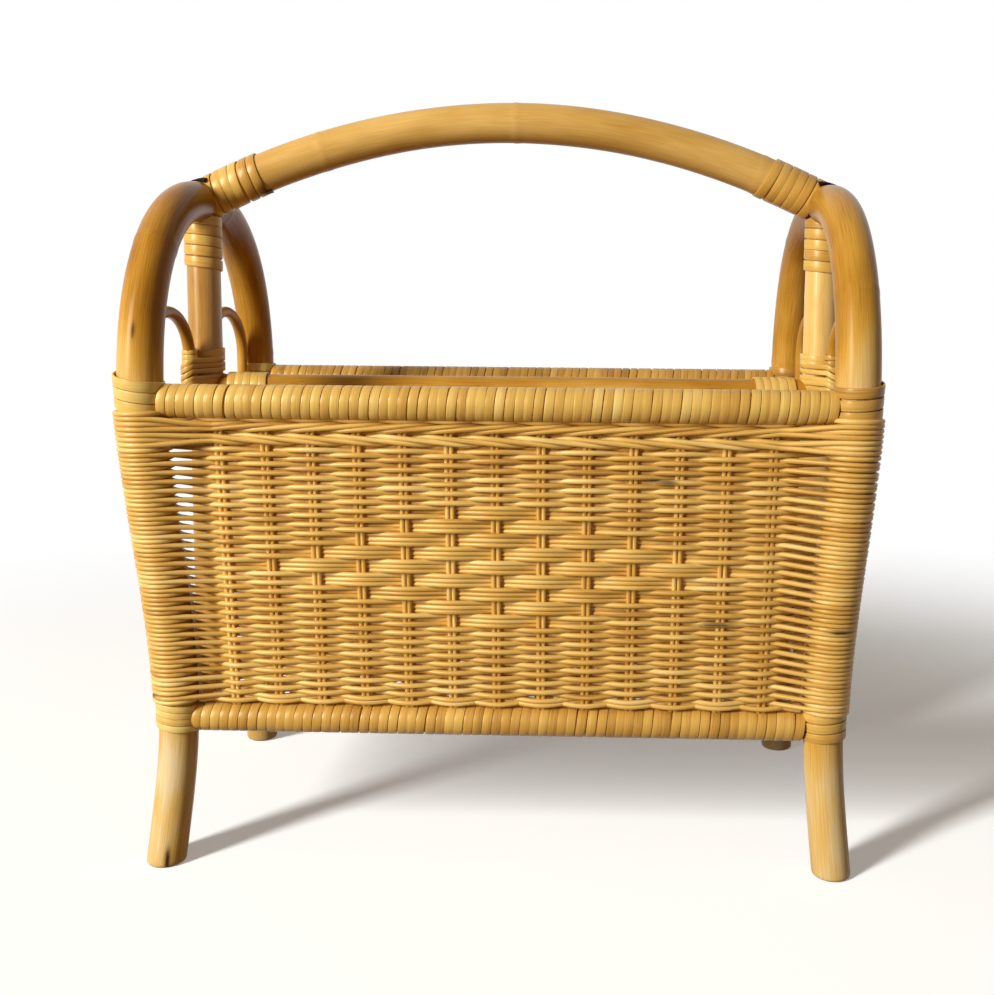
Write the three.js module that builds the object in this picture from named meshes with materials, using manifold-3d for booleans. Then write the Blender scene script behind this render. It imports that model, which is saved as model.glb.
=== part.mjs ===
// A magazine basket of rattan poles and woven reed, at its real size in millimetres, +Z up.
// The origin is on the floor under the middle of the basket. +X is the right end, -Y is the front.
// Two steam-bent poles make the ends: each is an arch on top and two splayed legs below.
// Rails, posts and a bowed handle join the ends, flat cane binds every joint,
// and a woven panel closes the front and the rear.
import * as THREE from "three";
import { mergeVertices } from "three/addons/utils/BufferGeometryUtils.js";
import Module from "manifold-3d";

const wasm = await Module();
wasm.setup();

// Sizes of the two bent end poles, on their axes
const rimHalfWidth = 200;
const rimHalfDepth = 120;
const rimHeight = 276;
const waistHalfWidth = 193;
const waistHalfDepth = 90;
const waistHeight = 84;
const footHalfWidth = 197;
const footHalfDepth = 106;
const archHalfWidth = 201;
const archHeight = 398;
const archDiameter = 25;
const footDiameter = 22.5;

// Shares of the end poles' form: how square the arch is, the slopes of a leg where it bends,
// and how much of the pole's curve each leg takes
const archSquareness = 2.2;
const waistSlopeShare = 0.1;
const footSlopeShare = 1.35;
const rimSlopeShare = 0.6;
const legCurveShare = 0.34;

// Sizes of the handle, the posts and the rails
const handleHeight = 447.4;
const handleDiameter = 26;
const handleEndLift = 4;
const postDiameter = 21.5;
const postFootInset = 1;
const topRailDiameter = 17;
const bottomRailDiameter = 15;
const sideRailDiameter = 18;
const dividerDiameter = 18;

// Sizes of the thin bent hoops that stand beside each post: how far their feet are from the post's
// axis and from the leg's, the share of the arch's rise that their bends take, and how far their
// feet reach below the rim
const hoopDiameter = 7.5;
const hoopOutset = 4.5;
const hoopInnerReach = 18;
const hoopOuterInset = 20;
const hoopArcShare = 0.255;
const hoopFootDrop = 6;
const hoopFootShare = 0.12;

// Sizes of the woven panels: single reeds woven round pairs of stakes. One course of the relief
// stands for three rows of reed, and courses are counted from the middle of the woven diamond.
const panelThickness = 8;
const stakePairs = 13;
const pairSpacing = 26;
const coursePitch = 8.2;
const diamondHeight = 180.3;
const reliefDepth = 2.6;
const weaverDiameter = 3.2;

// Sizes of the woven base, where four rods go over and under together
const basePanelThickness = 9;
const baseCoursePitch = 12.4;
const baseReliefDepth = 3;

// Sizes of the flat cane that binds the joints and covers the rails
const caneThickness = 1.2;
const caneWidth = 4.7;
const strandGap = 0.6;
const railWrapTurns = 24;
const handleBindingTurns = 5.25;
const postTopBindingTurns = 5;
const postBaseBindingTurns = 2.5;
const dividerBindingTurns = 4.75;
const topCornerTurns = 3.75;
const bottomCornerTurns = 3.5;

// Sizes of the nails hidden in the joints of the handle and the posts
const nailDiameter = 3;
const nailDepth = 24;
const nailHeadSink = 0.5;
const postNailOffset = 5;

// Clearances and cuts
const seatGap = 0.3;
const bindingClearance = 0.5;
const cornerClearance = 0.9;
const hoopFootClearance = 1.4;
const sleeveGap = 2.5;
const saddleDepth = 4;
const overrun = 20;
const mergeDistance = 0.0001;

// Counts of faces
const poleSides = 10;
const roundSides = 12;
const hoopSides = 6;
const nailSides = 8;
const archSteps = 44;
const handleSteps = 22;
const hoopSteps = 14;
const turnSteps = 8;
const bundleTurnSteps = 16;

// Values that follow from the sizes above
const archRadius = archDiameter / 2;
const handleRadius = handleDiameter / 2;
const postRadius = postDiameter / 2;
const hoopRadius = hoopDiameter / 2;
const archRise = archHeight - rimHeight;
const hoopArcRise = hoopArcShare * archRise;
const canePitch = caneWidth + strandGap;

// The length of pole that a winding of so many turns covers
function woundLength(turns) {
  return turns * canePitch + caneWidth;
}

// A regular polygon with this many sides has its corners this much further out than its flats
function bulge(sideCount) {
  return 1 / Math.cos(Math.PI / sideCount);
}

// How far the crown of a winding stands from the axis of the pole under it
function windingReach(radius, clearance) {
  return (radius + clearance + caneThickness) * bulge(turnSteps);
}
const cornerReach = windingReach(archRadius, cornerClearance) + seatGap;
const cornerEnvelope = cornerReach * bulge(poleSides) - archRadius;

// Materials
function finish(name, color, roughness, metalness = 0) {
  return new THREE.MeshStandardMaterial({ name, color, roughness, metalness });
}
const poleFinish = finish("lacquered rattan pole", 0xc8923f, 0.38);
const handleFinish = finish("pale lacquered rattan pole", 0xddb060, 0.35);
const hoopFinish = finish("thin bent cane", 0xb98a3c, 0.45);
const reedFinish = finish("woven reed", 0xe0b066, 0.55);
const caneFinish = finish("flat binding cane", 0xd7ae66, 0.42);
const nailFinish = finish("steel nail", 0x77777a, 0.4, 1);

const basket = new THREE.Group();
basket.name = "magazine_basket";

// Directions
const right = new THREE.Vector3(1, 0, 0);
const back = new THREE.Vector3(0, 1, 0);
const up = new THREE.Vector3(0, 0, 1);

function add(name, geometry, material) {
  geometry.computeVertexNormals();
  const mesh = new THREE.Mesh(geometry, material.clone());
  mesh.name = name;
  basket.add(mesh);
}

// Six times the volume that a mesh encloses, below zero where its faces point inwards
function signedVolume(positions, index) {
  const [a, b, c] = [new THREE.Vector3(), new THREE.Vector3(), new THREE.Vector3()];
  let sum = 0;
  for (let i = 0; i < index.length; i += 3) {
    a.fromBufferAttribute(positions, index[i]);
    b.fromBufferAttribute(positions, index[i + 1]);
    c.fromBufferAttribute(positions, index[i + 2]);
    sum += a.dot(b.cross(c));
  }
  return sum;
}

// The geometry with only its positions left, vertices shared and faces turned out
function closed(geometry) {
  const plain = geometry.clone();
  for (const name of ["normal", "uv"]) plain.deleteAttribute(name);
  const merged = mergeVertices(plain, mergeDistance);
  const index = Array.from(merged.index.array);
  if (signedVolume(merged.attributes.position, index) < 0) index.reverse();
  merged.setIndex(index);
  return merged;
}

function toSolid(geometry) {
  const merged = closed(geometry);
  const vertProperties = new Float32Array(merged.attributes.position.array);
  const triVerts = new Uint32Array(merged.index.array);
  return new wasm.Manifold(new wasm.Mesh({ numProp: 3, vertProperties, triVerts }));
}

function toGeometry(solid) {
  const mesh = solid.getMesh();
  const geometry = new THREE.BufferGeometry();
  const positions = new Float32Array(mesh.vertProperties);
  geometry.setAttribute("position", new THREE.BufferAttribute(positions, 3));
  geometry.setIndex(new THREE.BufferAttribute(new Uint32Array(mesh.triVerts), 1));
  return geometry;
}

// A round pole of any bend: a regular polygon carried along a curve
function bentPole(curve, radius, sides, steps) {
  const corners = [];
  for (let i = 0; i < sides; i += 1) {
    const angle = (2 * Math.PI * i) / sides;
    corners.push(new THREE.Vector2(radius * Math.cos(angle), radius * Math.sin(angle)));
  }
  const options = { steps, extrudePath: curve, bevelEnabled: false, curveSegments: 1 };
  return new THREE.ExtrudeGeometry(new THREE.Shape(corners), options);
}

// A straight round pole between two points
function straightPole(from, to, diameter, sides) {
  const along = to.clone().sub(from);
  const geometry = new THREE.CylinderGeometry(diameter / 2, diameter / 2, along.length(), sides);
  const direction = along.clone().normalize();
  geometry.applyQuaternion(new THREE.Quaternion().setFromUnitVectors(back, direction));
  const middle = from.clone().add(to).divideScalar(2);
  return geometry.translate(middle.x, middle.y, middle.z);
}

function block(low, high) {
  const size = high.clone().sub(low);
  const middle = high.clone().add(low).divideScalar(2);
  return new THREE.BoxGeometry(size.x, size.y, size.z).translate(middle.x, middle.y, middle.z);
}

// A smooth step from one value to another over a span, with given slopes at its ends
function hermite(from, to, fromSlope, toSlope, span, share) {
  const s = share;
  const rise = (2 * s ** 3 - 3 * s ** 2 + 1) * from + (3 * s ** 2 - 2 * s ** 3) * to;
  return rise + span * ((s ** 3 - 2 * s ** 2 + s) * fromSlope + (s ** 3 - s ** 2) * toSlope);
}

// Where a leg's axis is at a height up to the rim: out at the foot, in at the waist
// and out again at the rim
function legPlace(footPlace, waistPlace, rimPlace, height) {
  const lowSlope = (waistPlace - footPlace) / waistHeight;
  const highSlope = (rimPlace - waistPlace) / (rimHeight - waistHeight);
  const waistSlope = waistSlopeShare * highSlope;
  if (height < waistHeight) {
    const footSlope = footSlopeShare * lowSlope;
    return hermite(footPlace, waistPlace, footSlope, waistSlope, waistHeight, height / waistHeight);
  }
  const span = rimHeight - waistHeight;
  const share = (height - waistHeight) / span;
  return hermite(waistPlace, rimPlace, waistSlope, rimSlopeShare * highSlope, span, share);
}

// A leg's axis at the end `end` (-1 left, 1 right) and on the side `side` (-1 front, 1 rear)
function legAxis(end, side, height) {
  const x = end * legPlace(footHalfWidth, waistHalfWidth, rimHalfWidth, height);
  const y = side * legPlace(footHalfDepth, waistHalfDepth, rimHalfDepth, height);
  return new THREE.Vector3(x, y, height);
}

// The pole's radius grows evenly from the foot to the rim
function poleRadius(height) {
  const share = Math.min(Math.max(height / rimHeight, 0), 1);
  return (footDiameter + (archDiameter - footDiameter) * share) / 2;
}

// The axis of one end pole: up the front leg, over the arch, which is a squared ellipse,
// and down the rear leg
class EndPoleCurve extends THREE.Curve {
  constructor(end) {
    super();
    this.end = end;
  }

  getPoint(t, target = new THREE.Vector3()) {
    const start = -overrun;
    if (t < legCurveShare) return target.copy(this.legPoint(-1, start, t / legCurveShare));
    if (t > 1 - legCurveShare) return target.copy(this.legPoint(1, start, (1 - t) / legCurveShare));
    const angle = (Math.PI * (t - legCurveShare)) / (1 - 2 * legCurveShare);
    const power = 2 / archSquareness;
    const lift = Math.max(Math.sin(angle), 0) ** power;
    const reach = Math.sign(Math.cos(angle)) * Math.abs(Math.cos(angle)) ** power;
    const x = this.end * (rimHalfWidth + (archHalfWidth - rimHalfWidth) * lift);
    return target.set(x, -rimHalfDepth * reach, rimHeight + archRise * lift);
  }

  legPoint(side, start, share) {
    return legAxis(this.end, side, start + (rimHeight - start) * share);
  }
}

// One end pole, thicker all over by `extra`, not yet cut at the floor
function endPole(end, extra) {
  const curve = new EndPoleCurve(end);
  const centres = curve.getSpacedPoints(archSteps);
  const geometry = bentPole(curve, archRadius, poleSides, archSteps);
  const places = geometry.attributes.position;
  const place = new THREE.Vector3();
  for (let i = 0; i < places.count; i += 1) {
    place.fromBufferAttribute(places, i);
    const nearer = (best, c) => (c.distanceTo(place) < best.distanceTo(place) ? c : best);
    const near = centres.reduce(nearer);
    place.sub(near).multiplyScalar((poleRadius(near.z) + extra) / archRadius).add(near);
    places.setXYZ(i, place.x, place.y, place.z);
  }
  return toSolid(geometry);
}

// Everything above or below a height, as a block wider than the basket
function slice(lowHeight, highHeight) {
  const reach = archHalfWidth + archDiameter + overrun;
  const low = new THREE.Vector3(-reach, -reach, lowHeight);
  return toSolid(block(low, new THREE.Vector3(reach, reach, highHeight)));
}

// The ends of the basket, thickened for a seat, for a binding and for a wrap of weavers
const ends = [-1, 1];
const sides = [-1, 1];
const endName = { "-1": "left", 1: "right" };
const sideName = { "-1": "front", 1: "rear" };
const seatPoles = ends.map((end) => endPole(end, seatGap));
const envelopePoles = ends.map((end) => endPole(end, cornerEnvelope));
const underFloor = slice(-archHeight, 0);

// Everything on the front or the rear half
function halfSpace(side) {
  const reach = archHalfWidth + archDiameter + overrun;
  const low = new THREE.Vector3(-reach, Math.min(0, side * reach), -reach);
  const high = new THREE.Vector3(reach, Math.max(0, side * reach), archHeight + reach);
  return toSolid(block(low, high));
}

function cutBy(solid, tools) {
  return tools.reduce((rest, tool) => rest.subtract(tool), solid);
}

// The handle is a parabola between the two arches, cut square at both ends
const handleEndHeight = archHeight + handleEndLift;
const handleRise = handleHeight - handleEndHeight;
const handleEndAngle = Math.atan((2 * handleRise) / (archHalfWidth - archRadius));
const handleSetback =
  (archRadius + seatGap - handleEndLift * Math.sin(handleEndAngle)) / Math.cos(handleEndAngle);
const handleHalfSpan = archHalfWidth - handleSetback;
const handleCurve = new THREE.QuadraticBezierCurve3(
  new THREE.Vector3(-handleHalfSpan, 0, handleEndHeight),
  new THREE.Vector3(0, 0, handleEndHeight + 2 * handleRise),
  new THREE.Vector3(handleHalfSpan, 0, handleEndHeight)
);

// A nail: where its head lies and where it points. All four are of one length.
const nailLength = archDiameter + nailDepth;
const nails = [];
for (const end of ends) {
  const tip = handleCurve.getPoint(end < 0 ? 0 : 1);
  const into = handleCurve.getTangent(end < 0 ? 0 : 1).multiplyScalar(-end);
  const head = tip.clone().addScaledVector(into, -(archDiameter + seatGap - nailHeadSink));
  nails.push({ name: `${endName[end]}_handle_nail`, end, head, into });
}
for (const end of ends) {
  const top = archHeight + archRadius - nailHeadSink;
  const head = new THREE.Vector3(end * archHalfWidth, postNailOffset, top);
  const into = new THREE.Vector3(0, 0, -1);
  nails.push({ name: `${endName[end]}_post_nail`, end, head, into });
}

function nailGeometry(nail, extra, startBack) {
  const from = nail.head.clone().addScaledVector(nail.into, -startBack);
  const to = nail.head.clone().addScaledVector(nail.into, nailLength + extra);
  return straightPole(from, to, nailDiameter + 2 * extra, nailSides);
}
function holesAt(end) {
  const here = nails.filter((nail) => nail.end === end);
  return here.map((nail) => toSolid(nailGeometry(nail, seatGap, overrun)));
}

for (const end of ends) {
  const pole = cutBy(endPole(end, 0), [underFloor, ...holesAt(end)]);
  add(`${endName[end]}_arch`, toGeometry(pole), poleFinish);
}
const handlePole = toSolid(bentPole(handleCurve, handleRadius, roundSides, handleSteps));
add("handle", toGeometry(cutBy(handlePole, [...holesAt(-1), ...holesAt(1)])), handleFinish);
for (const nail of nails) add(nail.name, closed(nailGeometry(nail, 0, 0)), nailFinish);

// The side rails lie between the legs of one end at the waist, and the post stands on them
function sideRail(end, diameter) {
  const [front, rear] = [legAxis(end, -1, waistHeight), legAxis(end, 1, waistHeight)];
  return toSolid(straightPole(front, rear, diameter, roundSides));
}
const postTop = archHeight - archRadius + saddleDepth;
const postBottom = waistHeight + sideRailDiameter / 2 - saddleDepth;
function postAxis(end, height) {
  const share = (height - postBottom) / (postTop - postBottom);
  const x = archHalfWidth - postFootInset * (1 - share);
  return new THREE.Vector3(end * x, 0, height);
}
function post(end, extra) {
  const [low, high] = [postAxis(end, postBottom), postAxis(end, postTop)];
  return toSolid(straightPole(low, high, postDiameter + 2 * extra, roundSides));
}

for (const [i, end] of ends.entries()) {
  const rail = sideRail(end, sideRailDiameter);
  add(`${endName[end]}_bottom_rail`, toGeometry(cutBy(rail, [envelopePoles[i]])), poleFinish);
  const seats = [seatPoles[i], sideRail(end, sideRailDiameter + 2 * seatGap), ...holesAt(end)];
  add(`${endName[end]}_post`, toGeometry(cutBy(post(end, 0), seats)), poleFinish);
}

// A rail along the basket, between two legs or two posts, with its ends hollowed to fit them
function longRail(fromPoint, toPoint, diameter, tools) {
  return toGeometry(cutBy(toSolid(straightPole(fromPoint, toPoint, diameter, roundSides)), tools));
}
for (const side of sides) {
  for (const [level, height, diameter] of [
    ["top", rimHeight, topRailDiameter],
    ["bottom", waistHeight, bottomRailDiameter],
  ]) {
    const [from, to] = [legAxis(-1, side, height), legAxis(1, side, height)];
    const geometry = longRail(from, to, diameter, envelopePoles);
    add(`${sideName[side]}_${level}_rail`, geometry, poleFinish);
  }
}
const postSeats = ends.map((end) => post(end, seatGap));
const dividerEnds = ends.map((end) => postAxis(end, rimHeight));
const divider = longRail(dividerEnds[0], dividerEnds[1], dividerDiameter, postSeats);
add("divider_rail", divider, poleFinish);

// A hoop is thin cane bent over from the post to the leg: two upright feet and half an ellipse,
// which starts halfway up the binding at the post's foot
const postBaseStart = rimHeight + dividerDiameter / 2 + seatGap;
const postBaseLength = woundLength(postBaseBindingTurns);
const hoopOuterReach = rimHalfDepth - hoopOuterInset;
const hoopHalfSpan = (hoopOuterReach - hoopInnerReach) / 2;
class HoopCurve extends THREE.Curve {
  constructor(end, side) {
    super();
    this.end = end;
    this.side = side;
  }

  getPoint(t, target = new THREE.Vector3()) {
    const x = this.end * (archHalfWidth + hoopOutset);
    const footHeight = rimHeight - hoopFootDrop;
    const springHeight = postBaseStart + postBaseLength / 2;
    const rise = springHeight - footHeight;
    if (t < hoopFootShare) {
      return target.set(x, this.side * hoopInnerReach, footHeight + (rise * t) / hoopFootShare);
    }
    if (t > 1 - hoopFootShare) {
      const height = footHeight + (rise * (1 - t)) / hoopFootShare;
      return target.set(x, this.side * hoopOuterReach, height);
    }
    const angle = (Math.PI * (t - hoopFootShare)) / (1 - 2 * hoopFootShare);
    const y = hoopInnerReach + hoopHalfSpan * (1 - Math.cos(angle));
    return target.set(x, this.side * y, springHeight + hoopArcRise * Math.sin(angle));
  }
}
for (const end of ends) {
  for (const side of sides) {
    const hoop = bentPole(new HoopCurve(end, side), hoopRadius, hoopSides, hoopSteps);
    add(`${endName[end]}_${sideName[side]}_hoop`, closed(hoop), hoopFinish);
  }
}

// A woven panel: a flat slab between two rails, and a sleeve where its weavers wrap round each leg
const topRailReach = windingReach(topRailDiameter / 2, seatGap);
const bottomRailReach = windingReach(bottomRailDiameter / 2, seatGap);
const topCornerHeight = rimHeight + canePitch;
const sleeveLow = waistHeight + woundLength(bottomCornerTurns) / 2 + sleeveGap;
const sleeveHigh = topCornerHeight - woundLength(topCornerTurns) / 2 - sleeveGap;

// A slab whose faces are a grid with a column at each pair of stakes and a row at each course.
// Where a weaver passes in front of a pair, the front face stands out and the rear face draws
// back, and the next pair and the next course have it the other way round. `middle` is the place
// of the course from which they are counted, and `phase` is 1 where that course passes behind
// the middle pair.
function wovenSlab({ lowHalfWidth, highHalfWidth, start, stop, middle, pitch, phase, half, depth }) {
  const middlePair = (stakePairs - 1) / 2;
  const pairs = Array.from({ length: stakePairs }, (_, k) => (k - middlePair) * pairSpacing);
  const first = Math.floor((start - middle) / pitch) + 1;
  const last = Math.ceil((stop - middle) / pitch) - 1;
  const inner = Array.from({ length: last - first + 1 }, (_, j) => middle + pitch * (first + j));
  const places = [start, ...inner, stop];
  const courses = places.length - 1;
  const columns = stakePairs + 2;
  const behind = (r, k) => Math.abs(first + r - 1 + k - 1 - middlePair + phase) % 2;
  const vertices = [];
  places.forEach((place, r) => {
    const share = (place - start) / (stop - start);
    const edge = lowHalfWidth + (highHalfWidth - lowHalfWidth) * share;
    [-edge, ...pairs, edge].forEach((x, k) => {
      const onEdge = r === 0 || r === courses || k === 0 || k === columns - 1;
      const frontDraw = onEdge ? depth / 2 : behind(r, k) * depth;
      vertices.push(new THREE.Vector3(x, place, half - frontDraw));
      vertices.push(new THREE.Vector3(x, place, depth - frontDraw - half));
    });
  });
  const corner = (r, k) => 2 * (r * columns + k);
  const index = [];
  const quad = (a, b, c, d) => index.push(a, b, c, a, c, d);
  for (let r = 0; r < courses; r += 1) {
    for (let k = 0; k < columns - 1; k += 1) {
      const ring = [corner(r, k), corner(r, k + 1), corner(r + 1, k + 1), corner(r + 1, k)];
      const turned = behind(r, k) ? ring : [...ring.slice(1), ring[0]];
      quad(...turned);
      quad(...turned.map((i) => i + 1).reverse());
    }
    quad(corner(r + 1, 0), corner(r + 1, 0) + 1, corner(r, 0) + 1, corner(r, 0));
    const [low, high] = [corner(r, columns - 1), corner(r + 1, columns - 1)];
    quad(low, low + 1, high + 1, high);
  }
  for (let k = 0; k < columns - 1; k += 1) {
    quad(corner(0, k), corner(0, k) + 1, corner(0, k + 1) + 1, corner(0, k + 1));
    const [left, next] = [corner(courses, k), corner(courses, k + 1)];
    quad(next, next + 1, left + 1, left);
  }
  const geometry = new THREE.BufferGeometry().setFromPoints(vertices);
  geometry.setIndex(index);
  return geometry;
}

function panel(side) {
  const low = legAxis(1, side, waistHeight);
  const high = legAxis(1, side, rimHeight);
  const rise = new THREE.Vector3(0, high.y - low.y, high.z - low.z);
  const incline = rise.z / rise.length();
  const slab = wovenSlab({
    lowHalfWidth: low.x,
    highHalfWidth: high.x,
    start: bottomRailReach + seatGap,
    stop: rise.length() - topRailReach - seatGap,
    middle: (diamondHeight - waistHeight) / incline,
    pitch: coursePitch / incline,
    phase: side < 0 ? 0 : 1,
    half: panelThickness / 2,
    depth: reliefDepth,
  });
  slab.rotateX(Math.atan2(rise.z, rise.y));
  slab.translate(0, low.y, low.z);
  const sleeveBand = slice(sleeveLow, sleeveHigh);
  const bindingRoom = envelopePoles.map((pole) => pole.subtract(sleeveBand));
  const flat = cutBy(toSolid(slab), [...seatPoles, ...bindingRoom]);
  const half = sleeveBand.intersect(halfSpace(side));
  const wrap = seatGap + weaverDiameter;
  const sleeves = ends.map((end, i) => endPole(end, wrap).subtract(seatPoles[i]));
  return sleeves.reduce((whole, sleeve) => whole.add(sleeve.intersect(half)), flat);
}

// The woven base lies between the four rails at the waist, with its corners cut clear of the legs
function basePanel() {
  const halfWidth = waistHalfWidth - sideRailDiameter / 2 - seatGap;
  const halfDepth = waistHalfDepth - bottomRailReach - seatGap;
  const slab = wovenSlab({
    lowHalfWidth: halfWidth,
    highHalfWidth: halfWidth,
    start: -halfDepth,
    stop: halfDepth,
    middle: 0,
    pitch: baseCoursePitch,
    phase: 0,
    half: basePanelThickness / 2,
    depth: baseReliefDepth,
  });
  return cutBy(toSolid(slab.translate(0, 0, waistHeight)), envelopePoles);
}

// Woven pieces are shaded face by face, so that their relief shows
function addWoven(name, solid) {
  add(name, toGeometry(solid).toNonIndexed(), reedFinish);
}
for (const side of sides) addWoven(`${sideName[side]}_panel`, panel(side));
addWoven("base_panel", basePanel());

// Flat cane wound in a helix round a bundle of poles, one unbroken strand with a crowned face.
// `spine` gives the middle of the bundle at a distance along it, `across` and `over` span
// the plane of a turn, and `poles` lists each pole of the bundle by its place in that plane
// and its radius.
function winding({ spine, along, across, over, poles, clearance, turns, width, pitch, perTurn }) {
  const steps = Math.round(turns * perTurn);
  const vertices = [];
  const rings = [];
  for (let i = 0; i <= steps; i += 1) {
    const angle = (2 * Math.PI * i) / perTurn;
    const [c, s] = [Math.cos(angle), Math.sin(angle)];
    const outward = across.clone().multiplyScalar(c).addScaledVector(over, s);
    const reaches = poles.map((pole) => pole.across * c + pole.over * s + pole.radius);
    const widest = poles[reaches.indexOf(Math.max(...reaches))];
    const centre = spine(width / 2 + (pitch * i) / perTurn);
    centre.addScaledVector(across, widest.across).addScaledVector(over, widest.over);
    const reach = (widest.radius + clearance) * bulge(perTurn);
    const inner = centre.clone().addScaledVector(outward, reach);
    const crown = centre.clone().addScaledVector(outward, reach + caneThickness * bulge(perTurn));
    const ring = [
      inner.clone().addScaledVector(along, -width / 2),
      inner.clone().addScaledVector(along, width / 2),
      crown,
    ];
    rings.push(ring);
    vertices.push(...ring);
  }
  const index = [0, 1, 2];
  for (let i = 0; i < steps; i += 1) {
    for (let k = 0; k < 3; k += 1) {
      const [a, b] = [3 * i + k, 3 * i + ((k + 1) % 3)];
      index.push(a, a + 3, b, b, a + 3, b + 3);
    }
  }
  index.push(3 * steps, 3 * steps + 2, 3 * steps + 1);
  const geometry = new THREE.BufferGeometry().setFromPoints(vertices);
  geometry.setIndex(index);
  return { geometry, rings };
}

// The least gap between a strand and its own next turn, measured on points
function leastGap(rings, perTurn) {
  let least = Infinity;
  rings.forEach((ring, i) => {
    for (let j = i + perTurn - 1; j < Math.min(i + perTurn + 2, rings.length); j += 1) {
      for (const a of ring) for (const b of rings[j]) least = Math.min(least, a.distanceTo(b));
    }
  });
  return least;
}

const plainCane = {
  clearance: bindingClearance,
  width: caneWidth,
  pitch: canePitch,
  perTurn: turnSteps,
};
function addWinding(name, options) {
  const settings = { ...plainCane, ...options };
  const { geometry, rings } = winding(settings);
  console.log(`${name}: least gap to itself ${leastGap(rings, settings.perTurn).toFixed(2)} mm`);
  add(name, closed(geometry), caneFinish);
}

for (const [i, end] of ends.entries()) {
  // The handle's bindings start at its ends and follow the bow inwards
  const handleShare = (distance) => {
    const share = (distance + strandGap) / handleCurve.getLength();
    return end < 0 ? share : 1 - share;
  };
  const boundMiddle = handleShare(woundLength(handleBindingTurns) / 2);
  const along = handleCurve.getTangentAt(boundMiddle).multiplyScalar(-end);
  addWinding(`${endName[end]}_handle_binding`, {
    spine: (s) => handleCurve.getPointAt(handleShare(s)),
    along,
    across: back,
    over: back.clone().cross(along),
    poles: [{ across: 0, over: 0, radius: handleRadius }],
    turns: handleBindingTurns,
  });

  // The binding under the arch goes round the post alone
  const postAlong = postAxis(end, postTop).sub(postAxis(end, postBottom)).normalize();
  const topStart = archHeight - archRadius - 2 * seatGap - woundLength(postTopBindingTurns);
  addWinding(`${endName[end]}_post_top_binding`, {
    spine: (s) => postAxis(end, topStart + s * postAlong.z),
    along: postAlong,
    across: back,
    over: back.clone().cross(postAlong),
    poles: [{ across: 0, over: 0, radius: postRadius }],
    turns: postTopBindingTurns,
  });

  // The binding at the foot of the post, above the divider, takes in the inner feet of both hoops
  const footAxis = postAxis(end, postBaseStart + caneWidth);
  const footOver = archHalfWidth + hoopOutset - Math.abs(footAxis.x);
  const bendShare = postBaseLength / 2 / hoopArcRise;
  const footBend = hoopHalfSpan * (1 - Math.sqrt(1 - bendShare ** 2));
  const footAcross = hoopInnerReach + footBend + hoopFootClearance;
  addWinding(`${endName[end]}_post_base_binding`, {
    spine: (s) => postAxis(end, postBaseStart + s),
    along: up,
    across: back,
    over: right.clone().multiplyScalar(end),
    poles: [
      { across: 0, over: 0, radius: postRadius },
      { across: footAcross, over: footOver, radius: hoopRadius },
      { across: -footAcross, over: footOver, radius: hoopRadius },
    ],
    turns: postBaseBindingTurns,
    perTurn: bundleTurnSteps,
  });

  // The divider is bound where it meets the post
  const postReach = windingReach(postRadius, bindingClearance);
  const dividerStart = Math.abs(dividerEnds[i].x) - postReach - seatGap;
  addWinding(`${endName[end]}_divider_binding`, {
    spine: (s) => new THREE.Vector3(end * (dividerStart - s), 0, rimHeight),
    along: right.clone().multiplyScalar(-end),
    across: back,
    over: up,
    poles: [{ across: 0, over: 0, radius: dividerDiameter / 2 }],
    turns: dividerBindingTurns,
  });

  // Each leg is bound where the rails meet it, at the rim and at the waist
  for (const side of sides) {
    for (const [level, height, turns] of [
      ["top", topCornerHeight, topCornerTurns],
      ["bottom", waistHeight, bottomCornerTurns],
    ]) {
      const start = height - woundLength(turns) / 2;
      const stop = height + woundLength(turns) / 2;
      const highest = legAxis(end, side, Math.min(stop, rimHeight));
      const legAlong = highest.sub(legAxis(end, side, start)).normalize();
      const across = legAlong.clone().cross(right).normalize();
      addWinding(`${endName[end]}_${sideName[side]}_${level}_corner_binding`, {
        spine: (s) => poleAxis(end, side, start + s * legAlong.z),
        along: legAlong,
        across,
        over: legAlong.clone().cross(across),
        poles: [{ across: 0, over: 0, radius: poleRadius(stop) }],
        clearance: cornerClearance,
        turns,
      });
    }
  }
}

// The end pole's axis at a height near the rim or below it, the start of the arch included
function poleAxis(end, side, height) {
  if (height <= rimHeight) return legAxis(end, side, height);
  const lift = (height - rimHeight) / archRise;
  const reach = (1 - lift ** archSquareness) ** (1 / archSquareness);
  const x = end * (rimHalfWidth + (archHalfWidth - rimHalfWidth) * lift);
  return new THREE.Vector3(x, side * rimHalfDepth * reach, height);
}

// The rails on which the panels hang are wrapped from leg to leg, in broad turns
for (const side of sides) {
  for (const [level, height, diameter] of [
    ["top", rimHeight, topRailDiameter],
    ["bottom", waistHeight, bottomRailDiameter],
  ]) {
    const leg = legAxis(1, side, height);
    const half = leg.x - poleRadius(height) - cornerEnvelope - seatGap;
    const pitch = (2 * half + strandGap) / (railWrapTurns + 1);
    const start = new THREE.Vector3(-half, leg.y, leg.z);
    addWinding(`${sideName[side]}_${level}_rail_wrap`, {
      spine: (s) => start.clone().addScaledVector(right, s),
      along: right,
      across: back,
      over: up,
      poles: [{ across: 0, over: 0, radius: diameter / 2 }],
      clearance: seatGap,
      turns: railWrapTurns,
      width: pitch - strandGap,
      pitch,
    });
  }
}

export default basket;
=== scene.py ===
# %% [markdown]
# # A magazine basket of rattan, reed and cane
# The real basket is a frame of steam-bent rattan poles, lashed with flat cane. Its front and
# rear are woven from thin round reed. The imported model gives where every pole, binding and
# panel is, and this script dresses each of them: smooth poles with their growth rings, real
# strands of reed, and cane wound turn by turn. Every length is in metres, and `MM` turns the
# millimetres of the workshop into them.

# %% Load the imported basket
import math

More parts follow.
